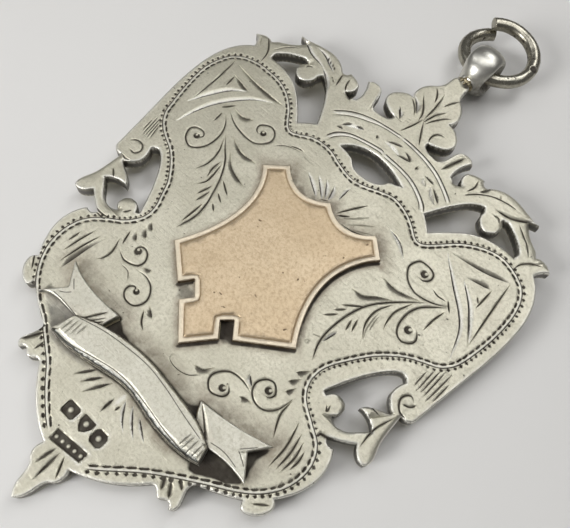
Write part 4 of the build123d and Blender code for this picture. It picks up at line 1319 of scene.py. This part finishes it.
# the wall colour is painted shade on walls and slopes
silverLook = dict(
    colour=(0.705, 0.678, 0.558), second=(0.61, 0.584, 0.472), dull=(0.49, 0.462, 0.363),
    patinaAndShade=(0.045, 0.036, 0.026), stainAndShadeColour=(0.27, 0.20, 0.145), wallShadeColour=(0.105, 0.10, 0.098),
    rimColour=(0.90, 0.89, 0.85), broadScale=330, grainScale=4300, scratchLong=500, scratchFine=11000,
    pitScale=2600, stainScale=1500, wornScale=900, rimShare=0.65, grainShare=0.62, stainShare=0.85,
    wallShadeShare=0.9, grooveShare=1, pitFrom=0.75, pitDark=0.7, roughLow=0.34, roughHigh=0.48, wearShine=0.10,
    dullRough=0.35, metallic=1, dullLoss=0.75, grainRelief=1.6, scratchRelief=0.3, pitRelief=1.2,
    bumpDepth=0.024,
)
finishes = {
    "engraved": metalFinish("engravedSilver", silverLook),
    # its dark wall colour is painted shade on the shield's walls
    "gold": metalFinish("roseGold", dict(
        silverLook, colour=(0.665, 0.54, 0.375), second=(0.61, 0.485, 0.325), dull=(0.50, 0.375, 0.24),
        patinaAndShade=(0.10, 0.05, 0.025), stainAndShadeColour=(0.38, 0.22, 0.13), wallShadeColour=(0.12, 0.08, 0.05),
        rimColour=(0.74, 0.685, 0.565), broadScale=260, pitScale=2100, pitDark=0.6, rimShare=0.6,
        wearShine=0.06, roughLow=0.40, roughHigh=0.55, scratchRelief=0.14, grainRelief=0.7)),
    # its blue-grey wall colour is painted shade on the ribbon's lower slope
    "struck": metalFinish("struckSilver", dict(
        silverLook, colour=(0.71, 0.69, 0.595), second=(0.64, 0.62, 0.525), pitFrom=0.76, wallShadeShare=0.8,
        wallShadeColour=(0.21, 0.22, 0.235), rimShare=0.45)),
    # its stain colour paints the eyelet's shade
    "polished": metalFinish("polishedSilver", dict(
        silverLook, colour=(0.66, 0.65, 0.60), second=(0.58, 0.57, 0.52), stainAndShadeColour=(0.14, 0.125, 0.10),
        grainShare=0.2, stainShare=0.9, rimShare=0, roughLow=0.28, roughHigh=0.36, pitFrom=0.77,
        scratchRelief=0.2, grainRelief=0.3, pitRelief=0.4, bumpDepth=0.008)),
    "wornRing": metalFinish("wornSilver", dict(
        silverLook, colour=(0.40, 0.385, 0.32), second=(0.27, 0.25, 0.20), dull=(0.16, 0.135, 0.095),
        patinaAndShade=(0.03, 0.021, 0.015), rimColour=(0.62, 0.60, 0.52), grainScale=2400, pitScale=2300,
        grainShare=0.55, rimShare=0.25, pitFrom=0.73, pitDark=0.6, roughLow=0.26, roughHigh=0.36,
        wearShine=0.04, grainRelief=0.12, scratchRelief=0.1, pitRelief=0.6, bumpDepth=0.008)),
    "solder": metalFinish("silverSolder", dict(
        silverLook, colour=(0.47, 0.42, 0.29), second=(0.33, 0.28, 0.18), dull=(0.17, 0.14, 0.09),
        patinaAndShade=(0.07, 0.045, 0.025), grainScale=2600, grainShare=0.8, rimShare=0, pitFrom=0.6,
        roughLow=0.3, roughHigh=0.55, bumpDepth=0.02)),
}


def dress(piece, finish):
    piece.data.materials.clear()
    piece.data.materials.append(finishes[finish])


for piece, finish, slot, body, node in (
        (engravedPlate, "engraved", "engraved_silver", "fob", "base_plate"),
        (goldShield, "gold", "rose_gold", "fob", "cartouche"),
        (struckRibbon, "struck", "struck_silver", "fob", "ribbon_banner"),
        (polishedEyelet, "polished", "bright_silver", "fob", "suspension_loop"),
        (neckSolder, "solder", "solder", "fob", "neck_solder"),
        (splitRing, "wornRing", "worn_silver", "ring", "jump_ring")):
    dress(piece, finish)
    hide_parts(node)
    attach(piece, body)
for film in ("cartouche_solder", "ribbon_solder"):
    dress(frame["nodes"][film], "solder")
print("pieces dressed")


# Stage: a pale floor that the plate's foot and the eyelet rest on
stage = dict(size=1.6, rest=(-23.607, 0.0), loopRest=(loopHigh[1] - loopOuter, loopLow[2]), below=0.02,
             colour=(0.80, 0.79, 0.77), speckScale=60.0, speckTone=0.985, rough=0.85)
restY, restZ = stage["rest"]
bpy.ops.mesh.primitive_grid_add(x_subdivisions=8, y_subdivisions=8, size=stage["size"])
floor = bpy.context.object
floor.name = "floor"
floor.rotation_euler = (math.atan2(stage["loopRest"][1] - restZ, stage["loopRest"][0] - restY), 0, 0)
floor.location = (0, restY * mm, (restZ - stage["below"]) * mm)
paleFloor = Finish("paleFloor")
speck = paleFloor.between(paleFloor.noise(stage["speckScale"], 3.0), 0.3, 0.7)
speckled = paleFloor.blend(speck, stage["colour"], [c * stage["speckTone"] for c in stage["colour"]])
paleFloor.feed(paleFloor.shader.inputs, Base_Color=speckled, Roughness=stage["rough"])
floor.data.materials.append(paleFloor.material)

studio = dict(colour=(0.98, 0.97, 0.95, 1), strength=0.155)
world = bpy.data.worlds.new("studio")
bpy.context.scene.world = world
world.use_nodes = True
background = world.node_tree.nodes["Background"]
background.inputs["Color"].default_value = studio["colour"]
background.inputs["Strength"].default_value = studio["strength"]

lamps = {
    "key": dict(place=(-175, 58, 154), size=0.07, power=0.008),
    "overhead": dict(place=(-4, 91, 183), size=0.11, power=0.014),
    "middle": dict(place=(-10, 30, 200), size=0.10, power=0.046),
    "left": dict(place=(-64, 8, 194), size=0.11, power=0.036),
    "right": dict(place=(40, 100, 175), size=0.08, power=0.037),
    "crown": dict(place=(-10, 150, 140), size=0.06, power=0.040),
    "edge": dict(place=(-130, -12, 158), size=0.05, power=0.020),
    "front": dict(place=(-60, -165, 110), size=0.08, power=0.27),
}
for name, lamp in lamps.items():
    light = bpy.data.lights.new(name, "AREA")
    light.shape = "SQUARE"
    light.size = lamp["size"]
    light.energy = lamp["power"]
    holder = bpy.data.objects.new(name, light)
    bpy.context.scene.collection.objects.link(holder)
    holder.location = Vector(lamp["place"]) * mm
    holder.rotation_euler = (-Vector(lamp["place"])).to_track_quat("-Z", "Y").to_euler()

# Camera at the photograph's angle
view = dict(place=(11.779, -15.498, 45.764), right=(0.71850, 0.69180, 0.07196),
            down=(0.65950, -0.64475, -0.38647), ahead=(-0.22096, 0.32513, -0.91949),
            focalPixels=650, pictureWidth=570, sensor=36)
lens = bpy.data.cameras.new("camera")
lens.sensor_width = view["sensor"]
lens.sensor_fit = "HORIZONTAL"
lens.lens = view["focalPixels"] / view["pictureWidth"] * view["sensor"]
lens.clip_start = 0.001
lens.clip_end = 10
camera = bpy.data.objects.new("camera", lens)
bpy.context.scene.collection.objects.link(camera)
turn = Matrix((view["right"], [-c for c in view["down"]], [-c for c in view["ahead"]])).transposed()
camera.matrix_world = Matrix.Translation(Vector(view["place"]) * mm) @ turn.to_4x4()
bpy.context.scene.camera = camera
bpy.context.scene.view_settings.view_transform = "Standard"
print("stage set")
